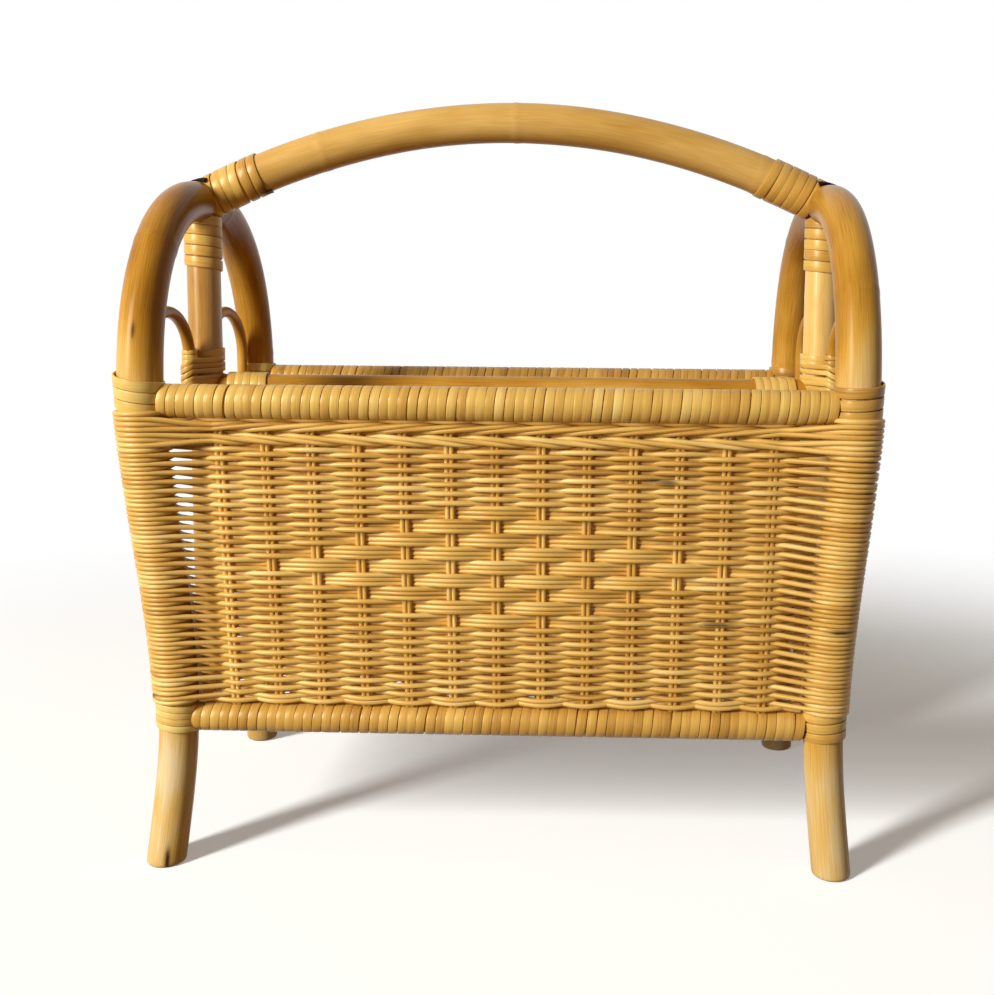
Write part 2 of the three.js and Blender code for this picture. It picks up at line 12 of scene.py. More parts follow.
import bpy
import numpy as np
from mathutils import Matrix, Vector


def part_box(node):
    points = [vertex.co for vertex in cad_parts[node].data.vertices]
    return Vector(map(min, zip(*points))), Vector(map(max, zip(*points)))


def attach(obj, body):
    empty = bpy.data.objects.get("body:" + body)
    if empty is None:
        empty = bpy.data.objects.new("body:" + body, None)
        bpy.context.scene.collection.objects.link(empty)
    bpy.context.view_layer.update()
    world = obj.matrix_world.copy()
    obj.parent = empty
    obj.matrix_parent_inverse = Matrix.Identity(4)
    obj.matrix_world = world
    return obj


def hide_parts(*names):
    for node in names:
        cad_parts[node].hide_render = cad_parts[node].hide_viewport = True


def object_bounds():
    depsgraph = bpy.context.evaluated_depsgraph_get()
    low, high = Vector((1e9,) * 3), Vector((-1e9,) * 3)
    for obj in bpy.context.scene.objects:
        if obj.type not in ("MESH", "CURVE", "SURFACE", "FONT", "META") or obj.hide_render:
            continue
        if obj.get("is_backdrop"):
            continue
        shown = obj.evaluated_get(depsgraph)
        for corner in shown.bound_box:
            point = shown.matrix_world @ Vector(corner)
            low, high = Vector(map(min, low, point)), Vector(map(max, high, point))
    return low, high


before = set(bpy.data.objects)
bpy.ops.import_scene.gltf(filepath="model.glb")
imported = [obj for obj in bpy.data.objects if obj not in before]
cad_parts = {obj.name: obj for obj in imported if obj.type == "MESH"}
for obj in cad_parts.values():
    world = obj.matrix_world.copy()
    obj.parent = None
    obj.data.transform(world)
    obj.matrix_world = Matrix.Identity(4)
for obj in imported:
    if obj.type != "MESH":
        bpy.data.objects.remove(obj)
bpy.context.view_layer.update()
MM = 0.001
print("Packed nodes:", len(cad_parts))

# %% [markdown]
# ## The camera
# The camera is the first thing made, because the framing decides how fine the weave has to
# be. It stands in front of the basket, a little right of its middle and a little above its
# rim, and looks slightly down. The photograph was cropped from a wider one, so the lens is
# shifted. All the numbers come from fitting the legs, the feet and the rails to the picture.

# %% Make the camera
IMAGE_HEIGHT = 995
FOCAL_PIXELS = 1213.9
CENTRE_SHIFT_PIXELS = 60
CAMERA_PLACE = np.array([52.5, -793.2, 328.3]) * MM
CAMERA_YAW = -0.0273
CAMERA_PITCH = 0.1043
CAMERA_ROLL = 0.0088
SENSOR_WIDTH = 36.0
X_AXIS, Y_AXIS, Z_AXIS = np.eye(3)


def camera_axes(yaw, pitch, roll):
    """Right, up and forward of a camera that looks along +Y, turned by yaw, tipped down by
    pitch and then rolled about the line of sight. All angles are in radians."""
    ahead = np.array([math.sin(yaw), math.cos(yaw), 0.0])
    forward = math.cos(pitch) * ahead - math.sin(pitch) * Z_AXIS
    level = np.array([math.cos(yaw), -math.sin(yaw), 0.0])
    upright = np.cross(level, forward)
    right = math.cos(roll) * level + math.sin(roll) * upright
    up = -math.sin(roll) * level + math.cos(roll) * upright
    return right, up, forward


def standing(place, right, up, backward):
    """The matrix whose columns are the right, up and backward directions and the place. A
    camera and a lamp both look along the opposite of backward."""
    matrix = np.eye(4)
    matrix[:3] = np.stack([right, up, backward, place], axis=1)
    return Matrix(matrix.tolist())


def make_camera():
    """The lens is the focal length in pixels times the sensor's width over the image's longer
    side. The shifts are shares of that side too."""
    data = bpy.data.cameras.new("camera")
    data.sensor_width = SENSOR_WIDTH
    data.lens = FOCAL_PIXELS * SENSOR_WIDTH / IMAGE_HEIGHT
    data.shift_x = data.shift_y = -CENTRE_SHIFT_PIXELS / IMAGE_HEIGHT
    camera = bpy.data.objects.new("camera", data)
    right, up, forward = camera_axes(CAMERA_YAW, CAMERA_PITCH, CAMERA_ROLL)
    camera.matrix_world = standing(CAMERA_PLACE, right, up, -forward)
    bpy.context.scene.collection.objects.link(camera)
    bpy.context.scene.camera = camera
    return camera


camera = make_camera()
print("Camera lens in mm:", round(camera.data.lens, 2))

# %% [markdown]
# ## Colours and nodes
# Colours are written as they look on a screen, in hex, and one function turns them into the
# linear values that the renderer adds up. A second small function adds a shader node, fills
# its sockets and links them, so that each finish below reads as a short recipe.

# %% Colour and node helpers
PURE_WHITE = (1.0, 1.0, 1.0, 1.0)


def linear(hex_colour):
    """Each channel c of an sRGB colour becomes ((c + 0.055) / 1.055) to the power 2.4, or
    c / 12.92 where it is nearly black. The result has an alpha of one."""
    channels = np.array([int(hex_colour[i : i + 2], 16) / 255 for i in (0, 2, 4)])
    curved = ((channels + 0.055) / 1.055) ** 2.4
    return (*np.where(channels <= 0.04045, channels / 12.92, curved).tolist(), 1.0)


def add_node(tree, kind, sockets=None, stops=(), **settings):
    """Adds a node. A socket's value is either a plain value or the output that feeds it. A
    colour ramp also has stops, each a position and a hex colour."""
    node = tree.nodes.new(kind)
    for name, value in settings.items():
        setattr(node, name, value)
    for socket, value in (sockets or {}).items():
        if isinstance(value, bpy.types.NodeSocket):
            tree.links.new(value, node.inputs[socket])
        else:
            node.inputs[socket].default_value = value
    if stops:
        elements = node.color_ramp.elements
        while len(elements) < len(stops):
            elements.new(0.5)
        for element, (position, colour) in zip(elements, stops):
            element.position, element.color = position, linear(colour)
    return node


def new_material(name):
    """An empty node material, its tree and its output node."""
    material = bpy.data.materials.new(name)
    material.use_nodes = True
    tree = material.node_tree
    tree.nodes.clear()
    return material, tree, add_node(tree, "ShaderNodeOutputMaterial")


print("Honey in linear light:", [round(c, 3) for c in linear("DEB060")[:3]])

# %% [markdown]
# ## Rattan, reed and cane as finishes
# All three come from one climbing palm. The pole is the whole stem with its hard skin, here
# steamed, bent and lacquered: long fine streaks, slow changes from pale honey to amber, and
# a soft gloss. Round reed is the stem's core drawn through a die: paler and fibrous, with a
# broad shine from its coat of lacquer. Cane is the skin itself, cut in flat strips: smooth
# and glossy.
#
# The pattern has to follow each strand round every bend, so the meshes carry an attribute
# named `grain`: the distance across the strand, up it and along it, in metres. A second
# attribute, `tone`, is one random number for each strand, because no two reeds match, and a
# third, `mark`, is one in the few dark spots that the plant had.
#
# A fibre of the real skin is about 0.3 mm wide, and a pixel covers 0.6 mm of the basket, so
# the streaks are drawn 0.55 mm wide to show at all.

# %% Streaks and blotches along the grain
STREAK_LENGTH = 22 * MM
STREAK_WIDTH = 0.55 * MM
BLOTCH_LENGTH = 70 * MM
BLOTCH_WIDTH = 25 * MM
BLOTCH_DEPTH = 0.4


def stretched_noise(tree, along, across, detail):
    """Noise at the grain divided by the two sizes, so that its features are `along` long and
    `across` wide."""
    grain = add_node(tree, "ShaderNodeAttribute", attribute_name="grain").outputs["Vector"]
    sockets = {"Vector": grain, "Scale": (1 / across, 1 / across, 1 / along)}
    placed = add_node(tree, "ShaderNodeMapping", sockets).outputs["Vector"]
    sockets = {"Vector": placed, "Scale": 1.0, "Detail": detail}
    return add_node(tree, "ShaderNodeTexNoise", sockets).outputs["Fac"]


print("Pixels across a streak:", round(STREAK_WIDTH * FOCAL_PIXELS / -CAMERA_PLACE[1], 2))

# %% One recipe for everything that grew
PLANT_IOR = 1.4
SHEEN_LEVEL = 0.35
SHEEN_TINT = "FFEFD0"
MARK_COLOUR = "43270B"
NOISE_LOW, NOISE_HIGH = 0.3, 0.7
ROUGHNESS_SWING = 0.08
STREAK_HEIGHT = 0.15 * MM


def plant_material(name, colours, streak_depth, tone_spread, roughness, bump, sheen=SHEEN_LEVEL):
    """A half, plus streaks, plus slow blotches, plus each strand's own tone add up to a factor
    that runs through the finish's colours from deep to pale, from 0 to 1. Where the mark
    attribute is one the colour is nearly black. The streaks also swing the roughness and lift
    the surface a little."""
    material, tree, output = new_material(name)
    streaks = stretched_noise(tree, STREAK_LENGTH, STREAK_WIDTH, 3.0)
    blotches = stretched_noise(tree, BLOTCH_LENGTH, BLOTCH_WIDTH, 2.0)
    tone = add_node(tree, "ShaderNodeAttribute", attribute_name="tone").outputs["Fac"]
    factor = 0.5
    for value, start, stop, depth, clamp in (
        (streaks, NOISE_LOW, NOISE_HIGH, streak_depth, True),
        (blotches, NOISE_LOW, NOISE_HIGH, BLOTCH_DEPTH, True),
        (tone, 0.0, 1.0, tone_spread, False),
    ):
        sockets = {"Value": value, "From Min": start, "From Max": stop}
        sockets |= {"To Min": -depth / 2, "To Max": depth / 2}
        part = add_node(tree, "ShaderNodeMapRange", sockets, clamp=clamp).outputs["Result"]
        total = add_node(tree, "ShaderNodeMath", {0: factor, 1: part}, operation="ADD")
        factor = total.outputs["Value"]
    plain = add_node(tree, "ShaderNodeValToRGB", {"Fac": factor}, colours).outputs["Color"]
    mark = add_node(tree, "ShaderNodeAttribute", attribute_name="mark").outputs["Fac"]
    # A Mix node has sockets for every data type, and 6 and 7 are its two colours.
    sockets = {0: mark, 6: plain, 7: linear(MARK_COLOUR)}
    marked = add_node(tree, "ShaderNodeMix", sockets, data_type="RGBA").outputs[2]
    swing = {"To Min": roughness - ROUGHNESS_SWING, "To Max": roughness + ROUGHNESS_SWING}
    rough = add_node(tree, "ShaderNodeMapRange", {"Value": streaks, **swing}).outputs["Result"]
    sockets = {"Height": streaks, "Strength": bump, "Distance": STREAK_HEIGHT}
    lifted = add_node(tree, "ShaderNodeBump", sockets).outputs["Normal"]
    sockets = {
        "Base Color": marked,
        "Roughness": rough,
        "IOR": PLANT_IOR,
        "Specular IOR Level": sheen,
        "Specular Tint": linear(SHEEN_TINT),
        "Normal": lifted,
    }
    shader = add_node(tree, "ShaderNodeBsdfPrincipled", sockets)
    tree.links.new(shader.outputs["BSDF"], output.inputs["Surface"])
    return material


thrown_back = ((PLANT_IOR - 1) / (PLANT_IOR + 1)) ** 2
print("Light that lacquer throws back head on, in %:", round(100 * thrown_back, 1))

# %% The five finishes
# Bent poles: the lacquer has browned most where it pooled, so this runs from brown to straw.
amber_rattan = plant_material(
    "lacquered rattan pole, amber",
    [(0.0, "7A4A0C"), (0.3, "AC741E"), (0.6, "CD973A"), (0.85, "DDB468"), (1.0, "E2C896")],
    streak_depth=0.22, tone_spread=0.12, roughness=0.3, bump=0.15, sheen=0.22,
)
# The handle: worn by hands, so it is more even, paler and a little duller.
honey_rattan = plant_material(
    "lacquered rattan pole, honey",
    [(0.0, "9E6926"), (0.35, "C89747"), (0.65, "DEB060"), (1.0, "F3D288")],
    streak_depth=0.22, tone_spread=0.15, roughness=0.38, bump=0.15,
)
# The posts: thick lacquer, so a pale stripe of light runs down the whole of each post.
post_rattan = plant_material(
    "lacquered rattan pole, thick gloss",
    [(0.0, "99651F"), (0.35, "C08D3D"), (0.65, "D7A551"), (1.0, "F1C875")],
    streak_depth=0.22, tone_spread=0.15, roughness=0.3, bump=0.1, sheen=1.0,
)
# Reed: the die leaves open fibres, so its streaks are deep and rough, and no two rods match.
reed_finish = plant_material(
    "round reed, drawn core",
    [(0.0, "A66E2A"), (0.3, "D3A045"), (0.65, "E6BA62"), (1.0, "F5D68C")],
    streak_depth=0.45, tone_spread=0.42, roughness=0.42, bump=0.4, sheen=1.0,
)
# Cane: the hard skin of the stem, so it is smooth, and each turn catches its own light.
cane_finish = plant_material(
    "flat binding cane, skin side",
    [(0.0, "946624"), (0.3, "C8943E"), (0.65, "E1B458"), (1.0, "F3D480")],
    streak_depth=0.28, tone_spread=0.3, roughness=0.36, bump=0.25, sheen=0.8,
)
finishes = (amber_rattan, honey_rattan, post_rattan, reed_finish, cane_finish)
print("Finishes:", [material.name for material in finishes])

# %% [markdown]
# ## Carrying a section along a path
# Poles, reeds and cane are all one idea: a small closed outline, the section, carried along
# a line. Blender's own curve bevels could do it, but a sweep written with arrays can change
# the section on the way, keep a flat strand facing outwards, and hand every point its place
# in the grain. Each sweep returns plain arrays, so that many strands become one mesh.

# %% Sections and paths


def unit(vectors):
    """Vectors divided by their own lengths."""
    return vectors / np.linalg.norm(vectors, axis=-1, keepdims=True)


def path_length(path):
    """The distance along a path at each of its points: the running sum of its steps."""
    steps = np.linalg.norm(np.diff(path, axis=0), axis=1)
    return np.concatenate([[0.0], np.cumsum(steps)])


def circle(radius, sides):
    """Points at equal angles, anticlockwise: the radius times cosine and sine."""
    angle = 2 * np.pi * np.arange(sides) / sides
    return radius * np.stack([np.cos(angle), np.sin(angle)], axis=1)


print("Round a circle of eight points:", round(path_length(circle(1.0, 8))[-1], 3), "radii")

# %% The sweep


def close_rings(rings, grain, middles):
    """Joins neighbouring rings with faces that look outwards. Each end is closed by a fan of
    four-sided faces round a middle point."""
    count, sides = rings.shape[:2]
    i = np.arange(count - 1)[:, None] * sides
    k, after = np.arange(sides), (np.arange(sides) + 1) % sides
    walls = np.stack([i + k, i + after, i + sides + after, i + sides + k], axis=2).reshape(-1, 4)
    even = np.arange(0, sides, 2)
    one, two = even + 1, (even + 2) % sides
    first, last = np.full_like(even, count * sides), np.full_like(even, count * sides + 1)
    start = np.stack([first, two, one, even], axis=1)
    top = (count - 1) * sides
    stop = np.stack([last, top + even, top + one, top + two], axis=1)
    places = np.concatenate([rings.reshape(-1, 3), middles])
    grains = np.concatenate([grain.reshape(-1, 3), grain[[0, -1]].mean(1)])
    return places, np.concatenate([walls, start, stop]), grains


def sweep(path, reference, section, scale=1.0):
    """Point (i, k) is path_i + scale_i * (section_k across * side_i + section_k up * up_i).
    The up direction is the reference made square to the path, and side is up cross tangent.
    The result is (places, faces, grain)."""
    tangent = unit(np.gradient(path, axis=0))
    reference = np.broadcast_to(reference, path.shape)
    up = unit(reference - (reference * tangent).sum(1, keepdims=True) * tangent)
    side = np.cross(up, tangent)
    scale = np.broadcast_to(scale, len(path))[:, None, None]
    across, lift = scale * section[None, :, :1], scale * section[None, :, 1:]
    rings = path[:, None] + across * side[:, None] + lift * up[:, None]
    along = np.broadcast_to(path_length(path)[:, None, None], across.shape)
    grain = np.concatenate([across, lift, along], axis=2)
    return close_rings(rings, grain, path[[0, -1]])


rod = sweep(np.linspace(0 * X_AXIS, X_AXIS, 3), Z_AXIS, circle(1.0, 8))
print("A rod of three rings:", len(rod[0]), "points,", len(rod[1]), "faces")

# %% [markdown]
# ## From strands to a piece
# A panel has nearly a hundred strands. One Blender object for each would be slow and hard to
# name, so all the strands of a kind go into one mesh. The random numbers start from a fixed
# seed, so that every run makes the same basket.

# %% Make a piece of strands
SEED = 4910
rng = np.random.default_rng(SEED)
GRAIN_SHIFT = 3.0
SHARP_ANGLE = math.radians(50)
MARK_STRENGTH = 1.6


def make_piece(name, strands, material, slot, *stands_for, shade=lambda places: 0.0, marks=()):
    """One mesh from many swept strands, on the basket's one body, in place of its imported
    nodes. Each strand gets a random tone and its own stretch of grain, and may bring extra
    tones as a fourth array. `shade` adds to the tone by place. A mark (middle, spread) is a
    dark spot: strength times exp(-(distance / spread) squared), and at most one."""
    start = 0
    places, faces, grains, tones = [], [], [], []
    for place, face, grain, *extra in strands:
        places.append(place)
        faces.append(face + start)
        grains.append(grain + rng.uniform(0, GRAIN_SHIFT, 3))
        tones.append(rng.uniform() + (extra[0] if extra else np.zeros(len(place))))
        start += len(place)
    places, faces = np.concatenate(places), np.concatenate(faces)
    mesh = bpy.data.meshes.new(name)
    mesh.vertices.add(len(places))
    mesh.vertices.foreach_set("co", places.ravel())
    mesh.loops.add(faces.size)
    mesh.loops.foreach_set("vertex_index", faces.ravel().astype(np.int32))
    mesh.polygons.add(len(faces))
    mesh.polygons.foreach_set("loop_start", np.arange(0, faces.size, 4, dtype=np.int32))
    mesh.update(calc_edges=True)
    mesh.shade_smooth()
    mesh.set_sharp_from_angle(angle=SHARP_ANGLE)
    dark = np.zeros(len(places))
    for middle, spread in marks:
        dark += MARK_STRENGTH * np.exp(-(((places - middle) / spread) ** 2).sum(1))
    for label, kind, field, values in (
        ("grain", "FLOAT_VECTOR", "vector", np.concatenate(grains).ravel()),
        ("tone", "FLOAT", "value", np.concatenate(tones) + shade(places)),
        ("mark", "FLOAT", "value", np.clip(dark, 0, 1)),
    ):
        mesh.attributes.new(label, kind, "POINT").data.foreach_set(field, values)
    mesh.materials.append(material)
    piece = bpy.data.objects.new(name, mesh)
    bpy.context.scene.collection.objects.link(piece)
    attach(piece, "root")
    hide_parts(*stands_for)
    print(f"{name}: {len(strands)} strands, {2 * len(faces)} triangles")


print("Seed of the random numbers:", SEED)

# %% [markdown]
# ## The two bent end poles
# Each end is a single pole: up one leg, over the arch and down the other. It splays at the
# feet, draws in at the waist and opens out again to the rim. The formula is the one that the
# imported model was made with, on its own driving sizes, so the smooth pole lies exactly where
# the faceted one does.

# %% The line of a leg
RIM_HALF_WIDTH = 200 * MM
RIM_HALF_DEPTH = 120 * MM
RIM_HEIGHT = 276 * MM
WAIST_HALF_WIDTH = 193 * MM
WAIST_HALF_DEPTH = 90 * MM
WAIST_HEIGHT = 84 * MM
FOOT_HALF_WIDTH = 197 * MM
FOOT_HALF_DEPTH = 106 * MM
WAIST_SLOPE_SHARE = 0.1
FOOT_SLOPE_SHARE = 1.35
RIM_SLOPE_SHARE = 0.6
FRONT, REAR, LEFT, RIGHT = -1, 1, -1, 1
END_NAME = {LEFT: "left", RIGHT: "right"}
SIDE_NAME = {FRONT: "front", REAR: "rear"}


def hermite(start, stop, start_slope, stop_slope, span, share):
    """The cubic that leaves start and reaches stop with the given slopes, share from 0 to 1."""
    cube, square = share**3, share**2
    rise = (2 * cube - 3 * square + 1) * start + (3 * square - 2 * cube) * stop
    return rise + span * ((cube - 2 * square + share) * start_slope + (cube - square) * stop_slope)


def leg_place(foot, waist, rim, height):
    """One coordinate of a leg's axis: a cubic from foot to waist and one from waist to rim,
    each with shares of the straight lines' slopes at its ends."""
    span = RIM_HEIGHT - WAIST_HEIGHT
    foot_slope = FOOT_SLOPE_SHARE * ((waist - foot) / WAIST_HEIGHT)
    slope = (rim - waist) / span
    waist_slope, rim_slope = WAIST_SLOPE_SHARE * slope, RIM_SLOPE_SHARE * slope
    low = hermite(foot, waist, foot_slope, waist_slope, WAIST_HEIGHT, height / WAIST_HEIGHT)
    high = hermite(waist, rim, waist_slope, rim_slope, span, (height - WAIST_HEIGHT) / span)
    return np.where(height < WAIST_HEIGHT, low, high)


def leg_axis(end, side, height):
    """Points (x, y, height) on a leg's axis at an array of heights."""
    height = np.atleast_1d(height)
    x = end * leg_place(FOOT_HALF_WIDTH, WAIST_HALF_WIDTH, RIM_HALF_WIDTH, height)
    y = side * leg_place(FOOT_HALF_DEPTH, WAIST_HALF_DEPTH, RIM_HALF_DEPTH, height)
    return np.stack([x, y, height], axis=1)


print("A foot stands in mm at:", (leg_axis(RIGHT, FRONT, 0.0)[0] / MM).round(1))

# %% The line of the arch, and the pole's thickness
ARCH_HALF_WIDTH = 201 * MM
ARCH_HEIGHT = 396.2 * MM
ARCH_RADIUS = 12.5 * MM
FOOT_RADIUS = 11.25 * MM
ARCH_SQUARENESS = 2.2


def pole_radius(height):
    """The end pole thickens evenly from its foot to the rim."""
    return FOOT_RADIUS + (ARCH_RADIUS - FOOT_RADIUS) * np.clip(height / RIM_HEIGHT, 0, 1)


def arch_axis(end, angle):
    """A squared ellipse from the front rim over to the rear rim, for angles from 0 to pi: the
    sine and the cosine are raised to a power below one."""
    power = 2 / ARCH_SQUARENESS
    lift = np.clip(np.sin(angle), 0, 1) ** power
    reach = np.sign(np.cos(angle)) * np.abs(np.cos(angle)) ** power
    x = end * (RIM_HALF_WIDTH + (ARCH_HALF_WIDTH - RIM_HALF_WIDTH) * lift)
    z = RIM_HEIGHT + (ARCH_HEIGHT - RIM_HEIGHT) * lift
    return np.stack([x, -RIM_HALF_DEPTH * reach, z], axis=1)


def resample(path, spacing):
    """The same line with points at even distances, found between its own points."""
    run = path_length(path)
    even = np.linspace(0, run[-1], max(int(run[-1] / spacing), 2) + 1)
    return np.stack([np.interp(even, run, path[:, k]) for k in range(3)], axis=1)


def smoothed(path, passes):
    """Each inner point moves to the middle of itself and the mean of its neighbours."""
    path = path.copy()
    for _ in range(passes):
        path[1:-1] = path[1:-1] / 2 + (path[:-2] + path[2:]) / 4
    return path


print("Thickness in mm at foot and rim:", [round(2 * pole_radius(z) / MM, 1) for z in (0, 0.3)])

# %% [markdown]
# ## How a pole grew
# Rattan grows in lengths between rings, and each ring is a faint ridge. Between them the
# stem swells and thins a little. Both are worked into the radius along the run, because a
# bump map would leave the outline of the pole too straight. The tone changes with height:
# paler at the feet and darker up the arch, with the left pole darker than the right. That is
# partly the lacquer's own colour and partly painted shade, for the side of the left pole
# that is turned from the lamp. A pale patch just above the front rim is a painted highlight.

# %% The shape of an end pole
FOOT_ROUNDING = 2.2 * MM
FOOT_STEPS = FOOT_ROUNDING * np.array([0, 0.08, 0.3, 0.6, 1.0])
LEG_HEIGHTS = np.concatenate([FOOT_STEPS, np.arange(4, 276, 2) * MM])
FOOT_POINTS = 6
LEVEL_HEIGHT = 25 * MM
STEEP_ENOUGH = 0.2
ARCH_POINTS = 200
ARCH_SMOOTHING = 12
POLE_SPACING = 2.0 * MM
POLE_SIDES = 64
RING_SPACING = 150 * MM
RING_RIDGE = 0.3 * MM
RING_WIDTH = 1.6 * MM
POLE_UNEVENNESS = 0.012
WAVE_LENGTHS = (41 * MM, 23 * MM)


def grown_radius(run, radius):
    """A pole's radius along its run: it is scaled by slow uneven growth, the mean of two sine
    waves, and gets a narrow bell-shaped ridge at each growth ring. The rings' distances are
    uneven."""
    count = int(run[-1] / RING_SPACING) + 1
    rings = (np.arange(count) + rng.uniform(0.3, 0.7, count)) * RING_SPACING
    ridges = np.exp(-(((run[:, None] - rings) / RING_WIDTH) ** 2)).sum(1)
    waves = sum(np.sin(run / length + rng.uniform(0, 6)) for length in WAVE_LENGTHS)
    return radius * (1 + POLE_UNEVENNESS * waves / 2) + RING_RIDGE * ridges


def end_pole(end):
    """The whole pole. Near the floor each ring of points slides along the pole until it is
    level, and the radius is rounded off by a quarter circle, because a foot is sawn flat and
    broken at the edge."""
    front = leg_axis(end, FRONT, LEG_HEIGHTS)
    rear = leg_axis(end, REAR, LEG_HEIGHTS)[::-1]
    top = arch_axis(end, np.linspace(0, np.pi, ARCH_POINTS))
    upper = np.concatenate([front[FOOT_POINTS:], top, rear[:-FOOT_POINTS]])
    upper = smoothed(resample(upper, POLE_SPACING), ARCH_SMOOTHING)
    path = np.concatenate([front[:FOOT_POINTS], upper, rear[-FOOT_POINTS:]])
    height = path[:, 2]
    radius = grown_radius(path_length(path), pole_radius(height))
    into = np.clip(1 - height / FOOT_ROUNDING, 0, 1)
    radius -= FOOT_ROUNDING * (1 - np.sqrt(1 - into**2))
    places, faces, grain = sweep(path, X_AXIS, circle(1.0, POLE_SIDES), radius)
    tangent = np.repeat(unit(np.gradient(path, axis=0)), POLE_SIDES, axis=0)
    middle = np.repeat(height, POLE_SIDES)
    rings = places[: len(middle)]
    rise = np.where(np.abs(tangent[:, 2]) < STEEP_ENOUGH, 1, tangent[:, 2])
    slide = (rings[:, 2] - middle) / rise * (1 - np.clip(middle / LEVEL_HEIGHT, 0, 1))
    rings -= tangent * slide[:, None]
    return places, faces, grain


print("Rings of points along a leg before smoothing:", len(LEG_HEIGHTS))

# %% Make the end poles, shaded by height and marked
# Tone by height for each end, partly the pole's own colour and partly painted shade: the left pole
# is kept darker than the right.
SHADE_HEIGHTS = np.array([0, 60, 100, 276, 330, 400]) * MM
SHADE_TONES = {LEFT: (3.3, 3.0, 1.0, 0.0, -0.8, -1.6), RIGHT: (4.2, 3.8, 1.4, 0.6, 0.2, -0.8)}
# A painted highlight: a pale bell curve in height on the front of each pole, above the rim.
PAINTED_HIGHLIGHT_TONE, PAINTED_HIGHLIGHT_HEIGHT, PAINTED_HIGHLIGHT_SPREAD = 2.2, 284 * MM, 30 * MM


def mark_at(place, spread):
    """A dark spot's middle and its spread along each axis, both given in millimetres."""
    return np.array(place) * MM, np.array(spread) * MM


POLE_MARKS = {
    LEFT: [mark_at((-200.3, -130, 315.5), (1, 9, 3.8)), mark_at((-193, -117, 5), (1.4, 6, 7))],
    RIGHT: [],
}


def pole_shade(end):
    """The tone at each point, read off a table by height that holds painted shade as well as the
    pole's colour, plus a painted highlight, a pale bell curve in height, just above the front rim."""

    def shade(places):
        height, front = places[:, 2], places[:, 1] < 0
        painted_highlight = PAINTED_HIGHLIGHT_TONE * front * np.exp(-(((height - PAINTED_HIGHLIGHT_HEIGHT) / PAINTED_HIGHLIGHT_SPREAD) ** 2))
        return np.interp(height, SHADE_HEIGHTS, SHADE_TONES[end]) + painted_highlight

    return shade


for end in (LEFT, RIGHT):
    name = END_NAME[end]
    make_piece(
        f"{name}_bent_pole", [end_pole(end)], amber_rattan, "pole", f"{name}_arch",
        shade=pole_shade(end), marks=POLE_MARKS[end],
    )

# %% [markdown]
# ## The handle
# The handle is one bowed pole between the arch tops, about as thick as the arches. Bending
# a real one over a form gives nearly a parabola, and so its line is one here. It runs on a
# little past its span, into the arches that it is nailed to.

# %% Make the handle
HANDLE_HEIGHT = 447.4 * MM
HANDLE_END_HEIGHT = 402 * MM
HANDLE_RADIUS = 12.5 * MM
HANDLE_OVERLAP = 4.6 * MM
HANDLE_OVERLAP_SHARE = 0.0125
HANDLE_POINTS = 184
HANDLE_HALF_SPAN = (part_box("handle")[1].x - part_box("handle")[0].x) / 2 - HANDLE_OVERLAP
END_ROUNDING = 0.8 * MM


def handle_axis(share):
    """A parabola: height falls from the middle with the square of the distance from it."""
    x = HANDLE_HALF_SPAN * (2 * share - 1)
    z = HANDLE_HEIGHT - (HANDLE_HEIGHT - HANDLE_END_HEIGHT) * (2 * share - 1) ** 2
    return np.stack([x, 0 * x, z], axis=1)


def pole_strand(path, radius, reference, sides=28):
    """A pole along a path. Both ends are rounded by a quarter circle in the radius."""
    run = path_length(path)
    size = grown_radius(run, radius)
    gap = np.minimum(run, run[-1] - run)
    into = np.clip(1 - gap / END_ROUNDING, 0, 1)
    size -= END_ROUNDING * (1 - np.sqrt(np.clip(1 - into**2, 0, 1)))
    return sweep(path, reference, circle(1.0, sides), size)


beyond = (-HANDLE_OVERLAP_SHARE, 1 + HANDLE_OVERLAP_SHARE)
strand = pole_strand(
    handle_axis(np.linspace(*beyond, HANDLE_POINTS)), HANDLE_RADIUS, Y_AXIS, sides=POLE_SIDES
)
make_piece("bowed_handle", [strand], honey_rattan, "handle_pole", "handle")

# %% [markdown]
# ## Posts and straight rails
# A post stands under each end of the handle. A short rail joins the legs of each end at the
# waist, two long rails at the rim and two at the waist carry the panels, and one between the
# posts divides the basket. Each could be a plain cylinder, but a straight path through the
# same sweep gives them the finish and the growth rings of the bent poles.

# %% Make the posts and the rails
POST_RADIUS = 10.75 * MM
POST_FOOT_INSET = 1 * MM
POST_FOOT_GAP = 2 * MM
POST_HEAD_GAP = 1 * MM
# Painted light and shade in the posts' tone: the left post darker, for its side turned from the
# lamp, and the right post paler, for its lit side.
POST_LIGHT_AND_SHADE_TONE = {LEFT: -1.8, RIGHT: 2.6}
SIDE_RAIL_RADIUS = 9 * MM
DIVIDER_RADIUS = 9 * MM
TOP_RAIL_RADIUS = 8.5 * MM
BOTTOM_RAIL_RADIUS = 7.5 * MM
STRAIGHT_SPACING = 4 * MM
STRAIGHT_ENDS = np.array([0, 0.1, 0.3, 0.8]) * MM
STRAIGHT_INSET = 2 * MM


def straight(start, stop):
    """Points along a straight line, closer together at its two ends."""
    length = np.linalg.norm(stop - start)
    count = max(int(length / STRAIGHT_SPACING), 3)
    inner = np.linspace(STRAIGHT_INSET, length - STRAIGHT_INSET, count)
    run = np.concatenate([STRAIGHT_ENDS, inner, length - STRAIGHT_ENDS[::-1]])
    return start + (stop - start) * (run / length)[:, None]


